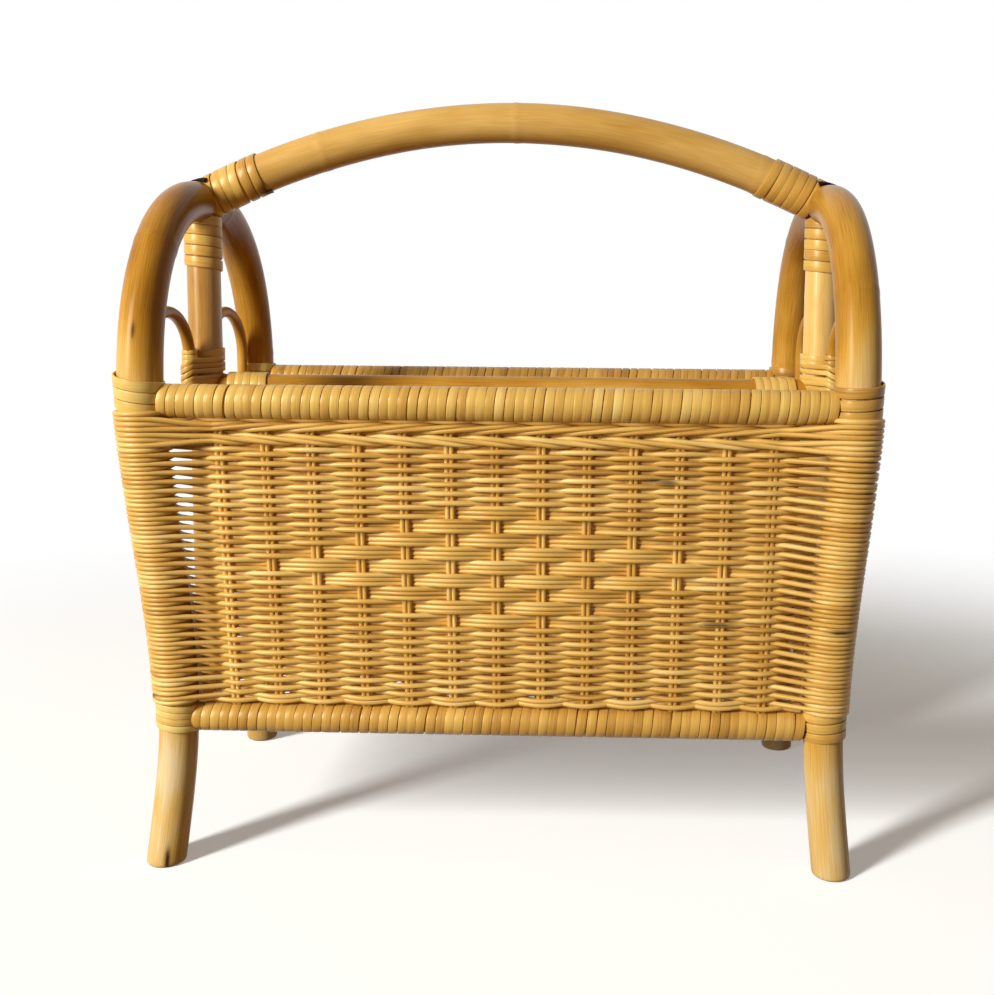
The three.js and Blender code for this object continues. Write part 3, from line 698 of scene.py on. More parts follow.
def post_axis(end, height):
    """A point on the post's axis. The post leans: the inset towards the basket's middle
    shrinks evenly from the foot to nothing at the head."""
    low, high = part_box(f"{END_NAME[end]}_post")
    inset = POST_FOOT_INSET * (1 - (height - low.z) / (high.z - low.z))
    return np.array([end * (ARCH_HALF_WIDTH - inset), 0.0, height])


def make_rail(name, node, radius, start, stop):
    """A straight pole between two places, each given as (x, y, z)."""
    strand = pole_strand(straight(np.array(start), np.array(stop)), radius, Z_AXIS)
    make_piece(name, [strand], amber_rattan, "pole", node)


for end in (LEFT, RIGHT):
    name = END_NAME[end]
    low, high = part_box(f"{name}_post")
    foot, head = post_axis(end, low.z + POST_FOOT_GAP), post_axis(end, high.z - POST_HEAD_GAP)
    # The post's tone carries painted shade on the left and painted light on the right.
    make_piece(
        f"{name}_upright", [pole_strand(straight(foot, head), POST_RADIUS, Y_AXIS)], post_rattan,
        "pole", f"{name}_post", shade=lambda places: POST_LIGHT_AND_SHADE_TONE[end],
    )
    low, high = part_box(f"{name}_bottom_rail")
    front, rear = ((end * WAIST_HALF_WIDTH, y, WAIST_HEIGHT) for y in (low.y, high.y))
    make_rail(f"{name}_waist_rail", f"{name}_bottom_rail", SIDE_RAIL_RADIUS, front, rear)
for side in (FRONT, REAR):
    for level, radius in (("top", TOP_RAIL_RADIUS), ("bottom", BOTTOM_RAIL_RADIUS)):
        name = f"{SIDE_NAME[side]}_{level}"
        low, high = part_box(f"{name}_rail")
        y, z = (low.y + high.y) / 2, (low.z + high.z) / 2
        make_rail(f"{name}_pole", f"{name}_rail", radius, (low.x, y, z), (high.x, y, z))
low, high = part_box("divider_rail")
left, right = ((x, 0, RIM_HEIGHT) for x in (low.x, high.x))
make_rail("divider_pole", "divider_rail", DIVIDER_RADIUS, left, right)

# %% [markdown]
# ## The thin hoops
# Beside each post stand two hoops of thin cane, bent over like croquet hoops. Their inner
# feet are bound in with the post, and their outer feet reach the leg just behind the rim.
# Each is two short upright lines joined by half an ellipse. Smoothing the points takes away
# the kink that bent cane never has.

# %% Make the hoops
HOOP_RADIUS = 3.75 * MM
HOOP_PLANE = ARCH_HALF_WIDTH + 4.5 * MM
HOOP_INNER_REACH = 18 * MM
HOOP_OUTER_REACH = 100 * MM
HOOP_SPRING_HEIGHT = RIM_HEIGHT + 18.3 * MM
HOOP_ARC_RISE = 31.1 * MM
HOOP_FOOT_HEIGHT = RIM_HEIGHT - 6 * MM
HOOP_ARC_POINTS = 40
HOOP_SMOOTHING = 6


def hoop_path(end, side):
    """Up the inner foot, over half an ellipse and down the outer foot."""
    angle = np.linspace(0, np.pi, HOOP_ARC_POINTS)
    middle = (HOOP_INNER_REACH + HOOP_OUTER_REACH) / 2
    half = (HOOP_OUTER_REACH - HOOP_INNER_REACH) / 2
    arc = middle - half * np.cos(angle)
    reach = np.concatenate([[HOOP_INNER_REACH], arc, [HOOP_OUTER_REACH]])
    height = HOOP_SPRING_HEIGHT + np.concatenate([[0], HOOP_ARC_RISE * np.sin(angle), [0]])
    height[[0, -1]] = HOOP_FOOT_HEIGHT
    path = np.stack([np.full(len(reach), end * HOOP_PLANE), side * reach, height], axis=1)
    return smoothed(resample(path, POLE_SPACING), HOOP_SMOOTHING)


for end in (LEFT, RIGHT):
    for side in (FRONT, REAR):
        name = f"{END_NAME[end]}_{SIDE_NAME[side]}_hoop"
        strand = pole_strand(hoop_path(end, side), HOOP_RADIUS, X_AXIS, sides=16)
        make_piece(f"{name}_cane", [strand], amber_rattan, "hoop_cane", name)

# %% [markdown]
# ## Flat cane, wound turn by turn
# A winding is a helix: the strand goes round the pole while it creeps along it by a little
# more than its own width. A ribbed texture would show the turns, but not their outline, nor
# how they go round two poles at once. Hand winding is never even, so each turn is nudged
# along by a fraction of a millimetre and has its own tone. The section is a flattened oval,
# flat enough to lie on the pole and crowned enough to catch its own line of light.

# %% The winding
CANE_THICKNESS = 1.2 * MM
CANE_POINTS = 12
ACROSS_POWER, UP_POWER = 0.4, 0.55
TURN_TONE_SPREAD = 0.16


def cane_section(width, thickness=CANE_THICKNESS):
    """A squared oval: both coordinates are powers of cosine and sine, with their signs. Its
    lower side lies at zero, on the pole."""
    angle = 2 * np.pi * np.arange(CANE_POINTS) / CANE_POINTS
    across = np.sign(np.cos(angle)) * np.abs(np.cos(angle)) ** ACROSS_POWER
    up = np.sign(np.sin(angle)) * np.abs(np.sin(angle)) ** UP_POWER
    return np.stack([across * width / 2, (up + 1) * thickness / 2], axis=1)


def winding(
    spine, across, over, poles, turns, width, length, per_turn=24, jitter=0.06, tilt=0.0
):
    """At angle a the strand lies in the direction cos(a) across + sin(a) over, at the reach
    of whichever pole (across, over, radius) of the bundle stands out most that way. It creeps
    from half its width at the start of the bound length to half its width before the end.
    `jitter` is a turn's nudge in widths, and `tilt` times sin(a) slopes each turn."""
    angle = np.linspace(0, 2 * np.pi * turns, int(turns * per_turn) + 1)
    outward = np.cos(angle)[:, None] * across + np.sin(angle)[:, None] * over
    reaches = [a * np.cos(angle) + b * np.sin(angle) + radius for a, b, radius in poles]
    chosen = np.array(poles)[np.stack(reaches, axis=1).argmax(1)]
    creep = width / 2 + (length - width) * angle / angle[-1]
    nudge = rng.normal(0, jitter * width, int(turns) + 2)
    nudge[[0, -1]] = 0
    nudges = np.interp(angle / (2 * np.pi), np.arange(len(nudge)), nudge)
    path = spine(creep + nudges + tilt * np.sin(angle))
    path = path + chosen[:, :1] * across + chosen[:, 1:2] * over + chosen[:, 2:] * outward
    places, faces, grain = sweep(path, outward, cane_section(width))
    turn_tone = rng.normal(0, TURN_TONE_SPREAD, int(turns) + 2)
    ring_tone = np.repeat(turn_tone[(angle / (2 * np.pi)).astype(int)], CANE_POINTS)
    return places, faces, grain, np.concatenate([ring_tone, turn_tone[[0, -2]]])


def line_spine(start, direction):
    """A straight spine: the start plus the distance times the direction."""
    return lambda distance: start + np.outer(distance, direction)


print("Cane in mm:", round(np.ptp(cane_section(5.4 * MM)[:, 0]) / MM, 2), "wide")

# %% [markdown]
# ## The wrapped rails
# All four long rails are wrapped from leg to leg in about seventy turns, side by side. On a
# real basket the wrap hides the rail's joints and gives a smooth edge to the hand. The
# number of turns was counted, and the width of the cane follows from it, with a hair's gap
# for the dark line between turns.

# %% Wrap the four long rails
WRAP_LEVELS = {
    "top": (TOP_RAIL_RADIUS, 70, 191.0 * MM, 0.0),
    "bottom": (BOTTOM_RAIL_RADIUS, 65, 183.6 * MM, 2.2 * MM),
}
WRAP_WIDTH_SHARE = 0.985
WRAP_TONE = {FRONT: 0.0, REAR: -0.8}

for side in (FRONT, REAR):
    for level, (radius, turns, reach, further_left) in WRAP_LEVELS.items():
        node = f"{SIDE_NAME[side]}_{level}_rail_wrap"
        low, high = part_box(node)
        start = np.array([-reach - further_left, (low.y + high.y) / 2, (low.z + high.z) / 2])
        length = 2 * reach + further_left
        width = WRAP_WIDTH_SHARE * length / (turns + 1)
        spine, poles = line_spine(start, X_AXIS), [(0, 0, radius)]
        strand = winding(spine, Y_AXIS, -Z_AXIS, poles, turns, width, length, jitter=0.09)
        make_piece(
            f"{node}_cane", [strand], cane_finish, "cane", node,
            shade=lambda places: WRAP_TONE[side],
        )

# %% [markdown]
# ## The lashed ends of the handle
# Six bands of cane hold each end of the handle to its arch. The joint between pole and arch
# is a hollow in shade, and a thin ring and a tongue of near-black brown fill it as painted
# shadow. The tongue is also the handle's sawn end: end grain drinks the stain and has no
# gloss. Its pores are about 0.35 mm wide and are drawn at twice that, to show. At the left
# the strand's cut tip sticks out of the last band.

# %% The raw wood and painted shadow in the joints
PORE_WIDTH = 0.7 * MM
TONGUE_LINE = np.array(
    [(207, -6, 408.6), (204, -6, 409.2), (200, -6, 409.5), (197, -6, 409.3), (195, -6, 408.8)]
)
TONGUE_HALF_SIZES = np.array([8, 2.3]) * MM
SHADOW_RING_PLACE = 0.2 * MM
SHADOW_RING_GAP = 0.2 * MM
SHADOW_RING_RADIUS = 0.9 * MM

end_grain_and_painted_shadow, tree, output = new_material("end grain and painted shadow in the joint")
place = add_node(tree, "ShaderNodeTexCoord").outputs["Object"]
sockets = {"Vector": place, "Scale": 1 / PORE_WIDTH, "Detail": 2.0}
pores = add_node(tree, "ShaderNodeTexNoise", sockets)
# Near-black browns: end grain, darkened further as painted shadow.
stops = [(0.3, "1E0F05"), (0.7, "3A2210")]
browns = add_node(tree, "ShaderNodeValToRGB", {"Fac": pores.outputs["Fac"]}, stops)
sockets = {"Base Color": browns.outputs["Color"], "Roughness": 0.8, "Specular IOR Level": 0.1}
shader = add_node(tree, "ShaderNodeBsdfPrincipled", sockets)
tree.links.new(shader.outputs["BSDF"], output.inputs["Surface"])


def joint_shadow_strands(end, spot, direction, over):
    """A flat tongue that thickens along its line over the arch, and a thin torus, a circle of
    the handle's own radius, where the handle's end meets it. Both are painted shadow."""
    line = resample(TONGUE_LINE * MM * (end, 1, 1), 1 * MM)
    tongue_section = circle(1.0, 16) * TONGUE_HALF_SIZES
    tongue = sweep(line, Z_AXIS, tongue_section, np.linspace(0.1, 1, len(line)))
    around = circle(HANDLE_RADIUS + SHADOW_RING_GAP, 40)[np.arange(41) % 40]
    ring = spot + around @ np.stack([Y_AXIS, over])
    return [tongue, sweep(ring, direction, circle(SHADOW_RING_RADIUS, 8))]


print("Joints close with:", end_grain_and_painted_shadow.name)

# %% Bind the handle and close its joints
BAND_WIDTH_SHARE = 0.95
HANDLE_BANDS = 6
HANDLE_BAND_PITCH = 6.1 * MM
HANDLE_BAND_START = 0.4 * MM
HANDLE_CANE_GAP = 0.1 * MM
LASHING_SHARE = 0.04
TAIL_BACK, TAIL_SINK, TAIL_FORWARD = 4.5 * MM, 0.2 * MM, 3 * MM
TAIL_LENGTH, TAIL_LIFT = 7.5 * MM, 0.5 * MM
TAIL_WIDTH, TAIL_THICKNESS = 3.4 * MM, 1.8 * MM
TAIL_MARK_PLACE, TAIL_MARK_SPREAD = 6 * MM, np.array([5, 9, 4]) * MM
lashing_path = handle_axis(np.linspace(-LASHING_SHARE, 1 + LASHING_SHARE, 200))
lashing_run = path_length(lashing_path)
hidden_run = (LASHING_SHARE - HANDLE_OVERLAP_SHARE) / (1 + 2 * LASHING_SHARE) * lashing_run[-1]


def banded(spine, across, over, radius, start, stop, bands, **more):
    """A winding whose front shows a whole number of bands between two distances. Both ends of
    the strand lie half a band beyond them, on the side that `across` points to."""
    pitch = (stop - start) / bands
    width, length = BAND_WIDTH_SHARE * pitch, (bands + 1) * pitch

    def moved(distance):
        """The spine, from half a band before the start."""
        return spine(distance + start - pitch / 2)

    return winding(moved, across, over, [(0, 0, radius)], bands, width, length, **more)


def handle_spine(end):
    """The handle's axis by the distance from its own end. It runs on behind that end, where
    the first band starts."""
    near = lashing_path if end == LEFT else lashing_path[::-1]
    return lambda distance: np.stack(
        [np.interp(distance + hidden_run, lashing_run, near[:, k]) for k in range(3)], axis=1
    )


def loose_tail(root, direction, over):
    """A cut tip of cane. It follows the handle and lifts with the square of the way gone."""
    bend = np.linspace(0, 1, 10)[:, None]
    path = root + bend * TAIL_LENGTH * direction + bend**2 * TAIL_LIFT * over
    return sweep(path, over, cane_section(TAIL_WIDTH, TAIL_THICKNESS))


for end in (LEFT, RIGHT):
    name, spine = END_NAME[end], handle_spine(end)
    bound = HANDLE_BANDS * HANDLE_BAND_PITCH
    spot, first, tip, last = spine(np.array([SHADOW_RING_PLACE, 0.0, bound - TAIL_BACK, bound]))
    direction = unit(last - first)
    over = np.cross(Y_AXIS, direction)
    radius = HANDLE_RADIUS + HANDLE_CANE_GAP
    strands = [
        banded(spine, Y_AXIS, over, radius, HANDLE_BAND_START, bound, HANDLE_BANDS, jitter=0.1)
    ]
    tail_marks = []
    if end == LEFT:
        root = tip + over * (HANDLE_RADIUS - TAIL_SINK) - TAIL_FORWARD * Y_AXIS
        strands.append(loose_tail(root, direction, over))
        tail_marks = [(root + TAIL_MARK_PLACE * direction, TAIL_MARK_SPREAD)]
    make_piece(
        f"{name}_handle_cane", strands, cane_finish, "cane", f"{name}_handle_binding",
        marks=tail_marks,
    )
    # The joint pieces are near-black: painted shadow in the hollow between handle and arch.
    strands = joint_shadow_strands(end, spot, direction, over)
    make_piece(f"{name}_joint", strands, end_grain_and_painted_shadow, "handle_pole")

# %% [markdown]
# ## The bound posts and the divider
# Five bands close the head of each post under the arch. At the foot, one strand goes round
# the post and both hoops at once: in a real lashing the cane spans straight from one pole to
# the next, and picking the pole that stands out most at each angle does the same. Above it
# the strand goes on round the post alone, and two short pieces tie the hoops themselves. The
# divider's ends have five turns each.

# %% Bind the posts and the divider
POST_BANDS = 5
POST_BINDING_TOP = 388 * MM
BUNDLE_FOOT, POST_COLLAR_FOOT, HOOP_COLLAR_FOOT = 274.5 * MM, 289 * MM, 290 * MM
BUNDLE_TURNS = dict(
    turns=5.0, width=3.1 * MM, length=20.5 * MM, per_turn=48, jitter=0.2, tilt=-2 * MM
)
POST_COLLAR_TURNS = dict(turns=2.0, width=4.6 * MM, length=13 * MM, tilt=-1.4 * MM)
HOOP_COLLAR_TURNS = dict(turns=3.0, width=3.2 * MM, length=13 * MM, tilt=0.8 * MM)
HOOP_BUNDLE_REACH = HOOP_INNER_REACH + 1.5 * MM
HEAD_CANE_GAP, FOOT_CANE_GAP, DIVIDER_CANE_GAP = 0.2 * MM, 0.3 * MM, 0.2 * MM
HOOP_CANE_GAP, BUNDLE_CANE_GAP = 0.1 * MM, 0.5 * MM
DIVIDER_TURNS = 4.8
DIVIDER_CANE_WIDTH = 5.2 * MM


def upright_winding(end, x, y, foot, poles, turns):
    """A winding round uprights that starts at the place (x, y, foot)."""
    spine = line_spine(np.array([x, y, foot]), Z_AXIS)
    return winding(spine, Y_AXIS, end * X_AXIS, poles, **turns)


for end in (LEFT, RIGHT):
    name = END_NAME[end]
    low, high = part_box(f"{name}_post_top_binding")
    foot, head = post_axis(end, low.z), post_axis(end, high.z)
    lean = unit(head - foot)
    over = np.cross(Y_AXIS, lean)
    spine, bound = line_spine(foot, lean), POST_BINDING_TOP - low.z
    strand = banded(
        spine, Y_AXIS, over, POST_RADIUS + HEAD_CANE_GAP, 0.0, bound, POST_BANDS, jitter=0.1
    )
    make_piece(f"{name}_post_top_cane", [strand], cane_finish, "cane", f"{name}_post_top_binding")

    low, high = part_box(f"{name}_post_base_binding")
    x = post_axis(end, low.z)[0]
    post, hoop = (0, 0, POST_RADIUS + FOOT_CANE_GAP), (0, 0, HOOP_RADIUS + HOOP_CANE_GAP)
    bundle = [post] + [
        (toward * HOOP_BUNDLE_REACH, HOOP_PLANE - abs(x), HOOP_RADIUS + BUNDLE_CANE_GAP)
        for toward in (-1, 1)
    ]
    strands = [
        upright_winding(end, x, 0.0, BUNDLE_FOOT, bundle, BUNDLE_TURNS),
        upright_winding(end, x, 0.0, POST_COLLAR_FOOT, [post], POST_COLLAR_TURNS),
    ]
    for side in (FRONT, REAR):
        place = end * HOOP_PLANE, side * HOOP_INNER_REACH, HOOP_COLLAR_FOOT
        strands.append(upright_winding(end, *place, [hoop], HOOP_COLLAR_TURNS))
    make_piece(
        f"{name}_post_base_cane", strands, cane_finish, "cane", f"{name}_post_base_binding"
    )

    low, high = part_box(f"{name}_divider_binding")
    spine = line_spine(np.array([low.x, 0, RIM_HEIGHT]), X_AXIS)
    rail, length = [(0, 0, DIVIDER_RADIUS + DIVIDER_CANE_GAP)], high.x - low.x
    strand = winding(spine, Y_AXIS, Z_AXIS, rail, DIVIDER_TURNS, DIVIDER_CANE_WIDTH, length)
    make_piece(f"{name}_divider_cane", [strand], cane_finish, "cane", f"{name}_divider_binding")

# %% [markdown]
# ## The bound corners
# Where the rails meet a leg, at the rim and at the waist, wide cane is wound round the leg in
# three or four bands. Each binding follows the lean of its leg. The bands' heights and their
# slight slopes are those of the real ones, and differ from left to right.

# %% Bind the legs at the rim and at the waist
CORNER_CANE_GAP = 0.35 * MM
CORNER_BANDS = {
    (LEFT, "top"): (270.8 * MM, 289.8 * MM, 3, -1.5 * MM),
    (RIGHT, "top"): (270.2 * MM, 289.0 * MM, 3, 0.0),
    (LEFT, "bottom"): (77.6 * MM, 93.6 * MM, 4, -0.8 * MM),
    (RIGHT, "bottom"): (78.4 * MM, 95.6 * MM, 3, 0.0),
}
CORNER_TONE = {
    (LEFT, "top"): 1.5, (LEFT, "bottom"): 1.0, (RIGHT, "top"): -0.6, (RIGHT, "bottom"): 0.1
}
for (end, level), (start, stop, bands, tilt) in CORNER_BANDS.items():
    for side in (FRONT, REAR):
        name = f"{END_NAME[end]}_{SIDE_NAME[side]}_{level}_corner"
        base, head = leg_axis(end, side, np.array([start, min(stop, RIM_HEIGHT)]))
        lean = unit(head - base)
        inward = unit(-side * np.cross(lean, X_AXIS))
        over = unit(np.cross(inward, lean)) * side * end
        spine, radius = line_spine(base, lean), pole_radius(stop) + CORNER_CANE_GAP
        strand = banded(
            spine, inward, over, radius, 0.0, stop - start, bands, per_turn=36, tilt=tilt
        )
        make_piece(
            f"{name}_cane", [strand], cane_finish, "cane", f"{name}_binding",
            shade=lambda places: CORNER_TONE[end, level],
        )

# %% [markdown]
# ## The weave
# A panel hangs between its two rails. Pairs of upright reeds, the stakes, stand about eight
# strands' widths apart, and single reeds, the weavers, go in front of one pair and behind
# the next. Each row takes the other side from the row above. In the middle, nine groups of
# three rows swap sides together and draw a diamond, an old basket maker's pattern. At each
# end the weaver leaves the last pair, wraps the leg one and a half times and comes back as
# the next row: one row leaves from the front of the leg and the next from its back.
#
# A cloth-like texture could draw all this on a flat slab, but light has to fall into the
# gaps between the strands, so every reed is real. A row is three arrays: how far across the
# basket, how far out of the panel's plane, and how high.

# %% Which rows pass in front
STAKE_PAIRS = 13
MIDDLE_PAIR = 6
PAIR_SPACING = 26.07 * MM
PAIR_SHIFT = -0.8 * MM
FIRST_ROW_HEIGHT = 248.6 * MM
ROW_PITCH = 2.733 * MM
ROWS = 56
DIAMOND_FIRST_MIDDLE = 13
DIAMOND_GROUPS = 9
GROUP_ROWS = 3
pair_x = PAIR_SHIFT + PAIR_SPACING * (np.arange(STAKE_PAIRS) - MIDDLE_PAIR)


def panel_plane(height):
    """The panel's plane leans out from the waist to the rim: its distance from the middle."""
    share = (height - WAIST_HEIGHT) / (RIM_HEIGHT - WAIST_HEIGHT)
    return WAIST_HALF_DEPTH + (RIM_HALF_DEPTH - WAIST_HALF_DEPTH) * share


def to_panel(side, flat):
    """Turns (across, out of the plane, up) into the basket's frame."""
    y = side * (panel_plane(flat[:, 2]) + flat[:, 1])
    return np.stack([flat[:, 0], y, flat[:, 2]], axis=1)


def weave_signs():
    """A table of rows by pairs with 1 where the weaver passes in front and -1 behind. Plain
    weave is the parity of row plus pair. The middle row of each diamond group is turned over
    near the middle, where it then agrees with its two neighbours."""
    rows, pairs = np.arange(ROWS)[:, None], np.arange(STAKE_PAIRS)[None, :]
    plain = 1 - 2 * ((rows + pairs) % 2)
    group, place = np.divmod(rows - DIAMOND_FIRST_MIDDLE, GROUP_ROWS)
    is_middle = (place == 0) & (group >= 0) & (group < DIAMOND_GROUPS)
    half = DIAMOND_GROUPS // 2 - np.abs(group - DIAMOND_GROUPS // 2) + 1
    return np.where(is_middle & (np.abs(pairs - MIDDLE_PAIR) <= half), -plain, plain)


signs = weave_signs()
print("Front passes of the first rows:", [int((row > 0).sum()) for row in signs[:4]])

# %% [markdown]
# ## Where a weaver meets a leg
# From the last pair of stakes the reed runs straight to where it just touches the leg, as a
# taut string does, and then winds round it. The leg counts as the next stake: a row that
# leaves the leg's front passes behind the last pair. Round the left leg the rows lie a
# little higher than in the panel, and round the right leg lower, so the height is eased
# along the straight run.

# %% The way from a leg to the last pair
REED_RADIUS = 1.56 * MM
WEAVE_DEPTH = 2.7 * MM
LEG_GAP = 0.15 * MM
WRAP_STEPS = 30
LEAVING_RISE = 2.2
LIFT_FOOT, LIFT_SPAN = 96 * MM, 152 * MM
LEG_LIFT = {LEFT: 1.7 * MM, RIGHT: -2.5 * MM}
RUN_SHARES = np.linspace(0, 1, 8)[1:-1, None]


def touch_angle(centre_out, reach, pair_out, distance):
    """The angle, from straight out, at which a line from the last pair touches the leg: the
    bearing of the pair from the leg, and the arc cosine of reach over distance more."""
    out = pair_out - centre_out
    far = np.hypot(distance, out)
    return -(np.pi / 2 - np.arctan2(out, distance)) + np.arccos(reach / far)


def run_to(start, stop):
    """Points between two places, in a straight line but with the height eased in and out by
    share squared times (3 - 2 share)."""
    way = start + (stop - start) * RUN_SHARES
    way[:, 2] = start[2] + (stop[2] - start[2]) * (RUN_SHARES**2 * (3 - 2 * RUN_SHARES))[:, 0]
    return way


def leg_circle(end, level):
    """Where the leg is at a height, seen from the panel, and how far off a reed lies on it:
    (across, out of the plane, reach)."""
    centre = leg_axis(end, FRONT, level)
    reach = pole_radius(level) + LEG_GAP + REED_RADIUS
    return centre[:, 0], -centre[:, 1] - panel_plane(level), reach


def leg_end(end, height, front):
    """Points (across, out of the plane, up) from the leg to the last pair: one and a half
    turns round the leg for a row that leaves its front, or only the straight run for one
    that leaves its back, from where the row above has ended."""
    pair = pair_x[0] if end == LEFT else pair_x[-1]
    start = height + LEG_LIFT[end] * (1 - np.abs(2 * (height - LIFT_FOOT) / LIFT_SPAN - 1) ** 4)
    (centre,), (centre_out,), reach = leg_circle(end, start)
    distance = abs(centre - pair)
    back = np.pi - touch_angle(-centre_out, reach, -WEAVE_DEPTH, distance)
    if front:
        first = touch_angle(centre_out, reach, -WEAVE_DEPTH, distance)
        turn = np.linspace(first, back + 2 * np.pi, WRAP_STEPS)[::-1]
        turned = (turn - first) / (2 * np.pi)
        level = start - ROW_PITCH * (turned - LEAVING_RISE * np.clip(turned - 1, 0, 1) ** 2)
        middle, out, _ = leg_circle(end, level)
    else:
        # The row above started one pitch higher and has gone one and a half turns since.
        turn = np.array([back])
        level = np.array([start + ROW_PITCH * (1 - 1.5 + LEAVING_RISE / 4)])
        middle, out = centre, centre_out
    across = middle + end * reach * np.sin(turn)
    wrap = np.stack([across, out + reach * np.cos(turn), level], axis=1)
    last_pair = np.array([pair, -WEAVE_DEPTH if front else WEAVE_DEPTH, height])
    return np.concatenate([wrap, run_to(wrap[-1], last_pair)])


print("Points of a wrap and its run:", len(leg_end(LEFT, FIRST_ROW_HEIGHT, True)))

# %% [markdown]
# ## One row of the weave
# Between the pairs a weaver swings from front to back, and half a cosine is close to how a
# springy rod does it. Packed rows tilt a little between the stakes: in both panels a row
# lies higher where it passes on the side that faces the front. Near the bottom the outer
# passes sag. Every row has a slow drift of a tenth of a millimetre and its own thickness,
# because drawn reed is never even.

# %% The path of one row
SAMPLES_PER_PAIR = 10
SETTLE = 0.4 * MM
SAG_DEPTH = 0.9 * MM
SAG_ROWS = 7
DRIFT, DRIFT_POINTS = 0.1 * MM, 9
LEG_REED_SHARE = 0.89
THINNING_POINTS = 6


def wave(x, row_signs):
    """The distance out of the panel's plane: at each pair it is the row's sign times the
    weave's depth, and between pairs it swings over along half a cosine."""
    place = np.clip((x - pair_x[0]) / PAIR_SPACING, 0, STAKE_PAIRS - 1 - 1e-9)
    left = place.astype(int)
    swing = (1 - np.cos(np.pi * (place - left))) / 2
    return WEAVE_DEPTH * (row_signs[left] * (1 - swing) + row_signs[left + 1] * swing)


def row_path(side, row):
    """One weaver from leg to leg, as points in the basket's own frame, and its size at each.
    Its height is the row's, less settle and sag in proportion to how far out it swings, plus
    a drift between a few random values. Pulled tight round a leg, a soaked reed gets a
    little thinner. The last row sags most, and a row seven higher 2.7 times less."""
    height = FIRST_ROW_HEIGHT - ROW_PITCH * row
    x = np.linspace(pair_x[0], pair_x[-1], SAMPLES_PER_PAIR * (STAKE_PAIRS - 1) + 1)
    out = wave(x, signs[row])
    sag = SAG_DEPTH * np.exp((row - ROWS + 1) / SAG_ROWS)
    knots = np.linspace(x[0], x[-1], DRIFT_POINTS)
    drift = np.interp(x, knots, rng.normal(0, DRIFT, DRIFT_POINTS))
    up = height - (side * SETTLE + sag) * out / WEAVE_DEPTH + drift
    front = signs[row, 0] < 0
    left, right = (leg_end(end, height, front) for end in (LEFT, RIGHT))
    flat = np.concatenate([left, np.stack([x, out, up], axis=1), right[::-1]])
    keep = WRAP_STEPS if front else 1
    inner = slice(keep - 1, len(flat) - keep + 1)
    flat[inner] = smoothed(flat[inner], 2)
    from_end = np.minimum(np.arange(len(flat)), np.arange(len(flat))[::-1])
    size = np.interp(from_end, [keep - 1, keep - 1 + THINNING_POINTS], [LEG_REED_SHARE, 1])
    return to_panel(side, flat), size * rng.uniform(0.99, 1.05)


print("The first row's swing at three pairs, in mm:", (wave(pair_x[:3], signs[0]) / MM).round(1))

# %% Weave the front and the rear
REED_SIDES = 8
reed_section = circle(REED_RADIUS, REED_SIDES)
REED_MARKS = [
    mark_at((88.5, -118, 233.0), (4.6, 6, 1.3)),
    mark_at((97, -118, 232.6), (4.6, 6, 1.3)),
    mark_at((127, -102, 148), (9, 6, 1.2)),
    mark_at((197, -110, 146.4), (5.5, 12, 1.3)),
    mark_at((-204.5, -96, 98.5), (2, 9, 1.2)),
]
for side in (FRONT, REAR):
    name = SIDE_NAME[side]
    strands = []
    for row in range(ROWS):
        path, size = row_path(side, row)
        strands.append(sweep(path, Z_AXIS, reed_section, size))
    make_piece(
        f"{name}_weavers", strands, reed_finish, "reed", f"{name}_panel", marks=REED_MARKS
    )

# %% [markdown]
# ## The stakes
# The stakes are the warp of the weave: thirteen pairs of thinner reeds that stand straight
# in the panel's plane and end between its two rails. They are rods of the same reed, swept
# along short straight paths, with the two of a pair nearly touching.

# %% Set the stakes
STAKE_RADIUS = 1.4 * MM
STAKE_FOOT = 91.5 * MM
STAKE_HEAD = 268 * MM
STAKE_POINTS = 12
PAIR_OFFSETS = np.array([-1.02, 1.02])
for side in (FRONT, REAR):
    strands = []
    for x in (pair_x[:, None] + STAKE_RADIUS * PAIR_OFFSETS).ravel():
        height = np.linspace(STAKE_FOOT, STAKE_HEAD, STAKE_POINTS)
        flat = np.stack([np.full(STAKE_POINTS, x), 0 * height, height], axis=1)
        strands.append(sweep(to_panel(side, flat), X_AXIS, circle(STAKE_RADIUS, 10)))
    make_piece(f"{SIDE_NAME[side]}_stakes", strands, reed_finish, "reed")

# %% [markdown]
# ## The edge of the weave
# Under the top rail run two courses of three-rod wale. Each rod passes in front of two pairs
# and behind one, and the three rods take turns. The upper course climbs to the right and the
# lower one falls, so together they point like an arrow. Below the last row, two rods twist
# round each other: one dips in front of a pair while the other hides behind it. Three plain
# rods lie behind the stakes and close the slits that these courses leave.

# %% The rods of the wales
# A wale is given by its height, its slant (1 climbs to the right, -1 falls) and its swing.
WALES = ((262.0 * MM, 1, 2.3 * MM), (254.8 * MM, -1, 2.5 * MM))
WALE_RODS = 3
WALE_DEPTH = WEAVE_DEPTH + 0.2 * MM
WALE_SHARPNESS = 2.0
WALE_OVERRUN = 3 * MM
WALE_POINTS = 168
FIRST_RING_HEIGHT = 251.7 * MM
RING_PITCH = 2.98 * MM
RING_STEPS = 20
RING_TURN = 1.62 * np.pi


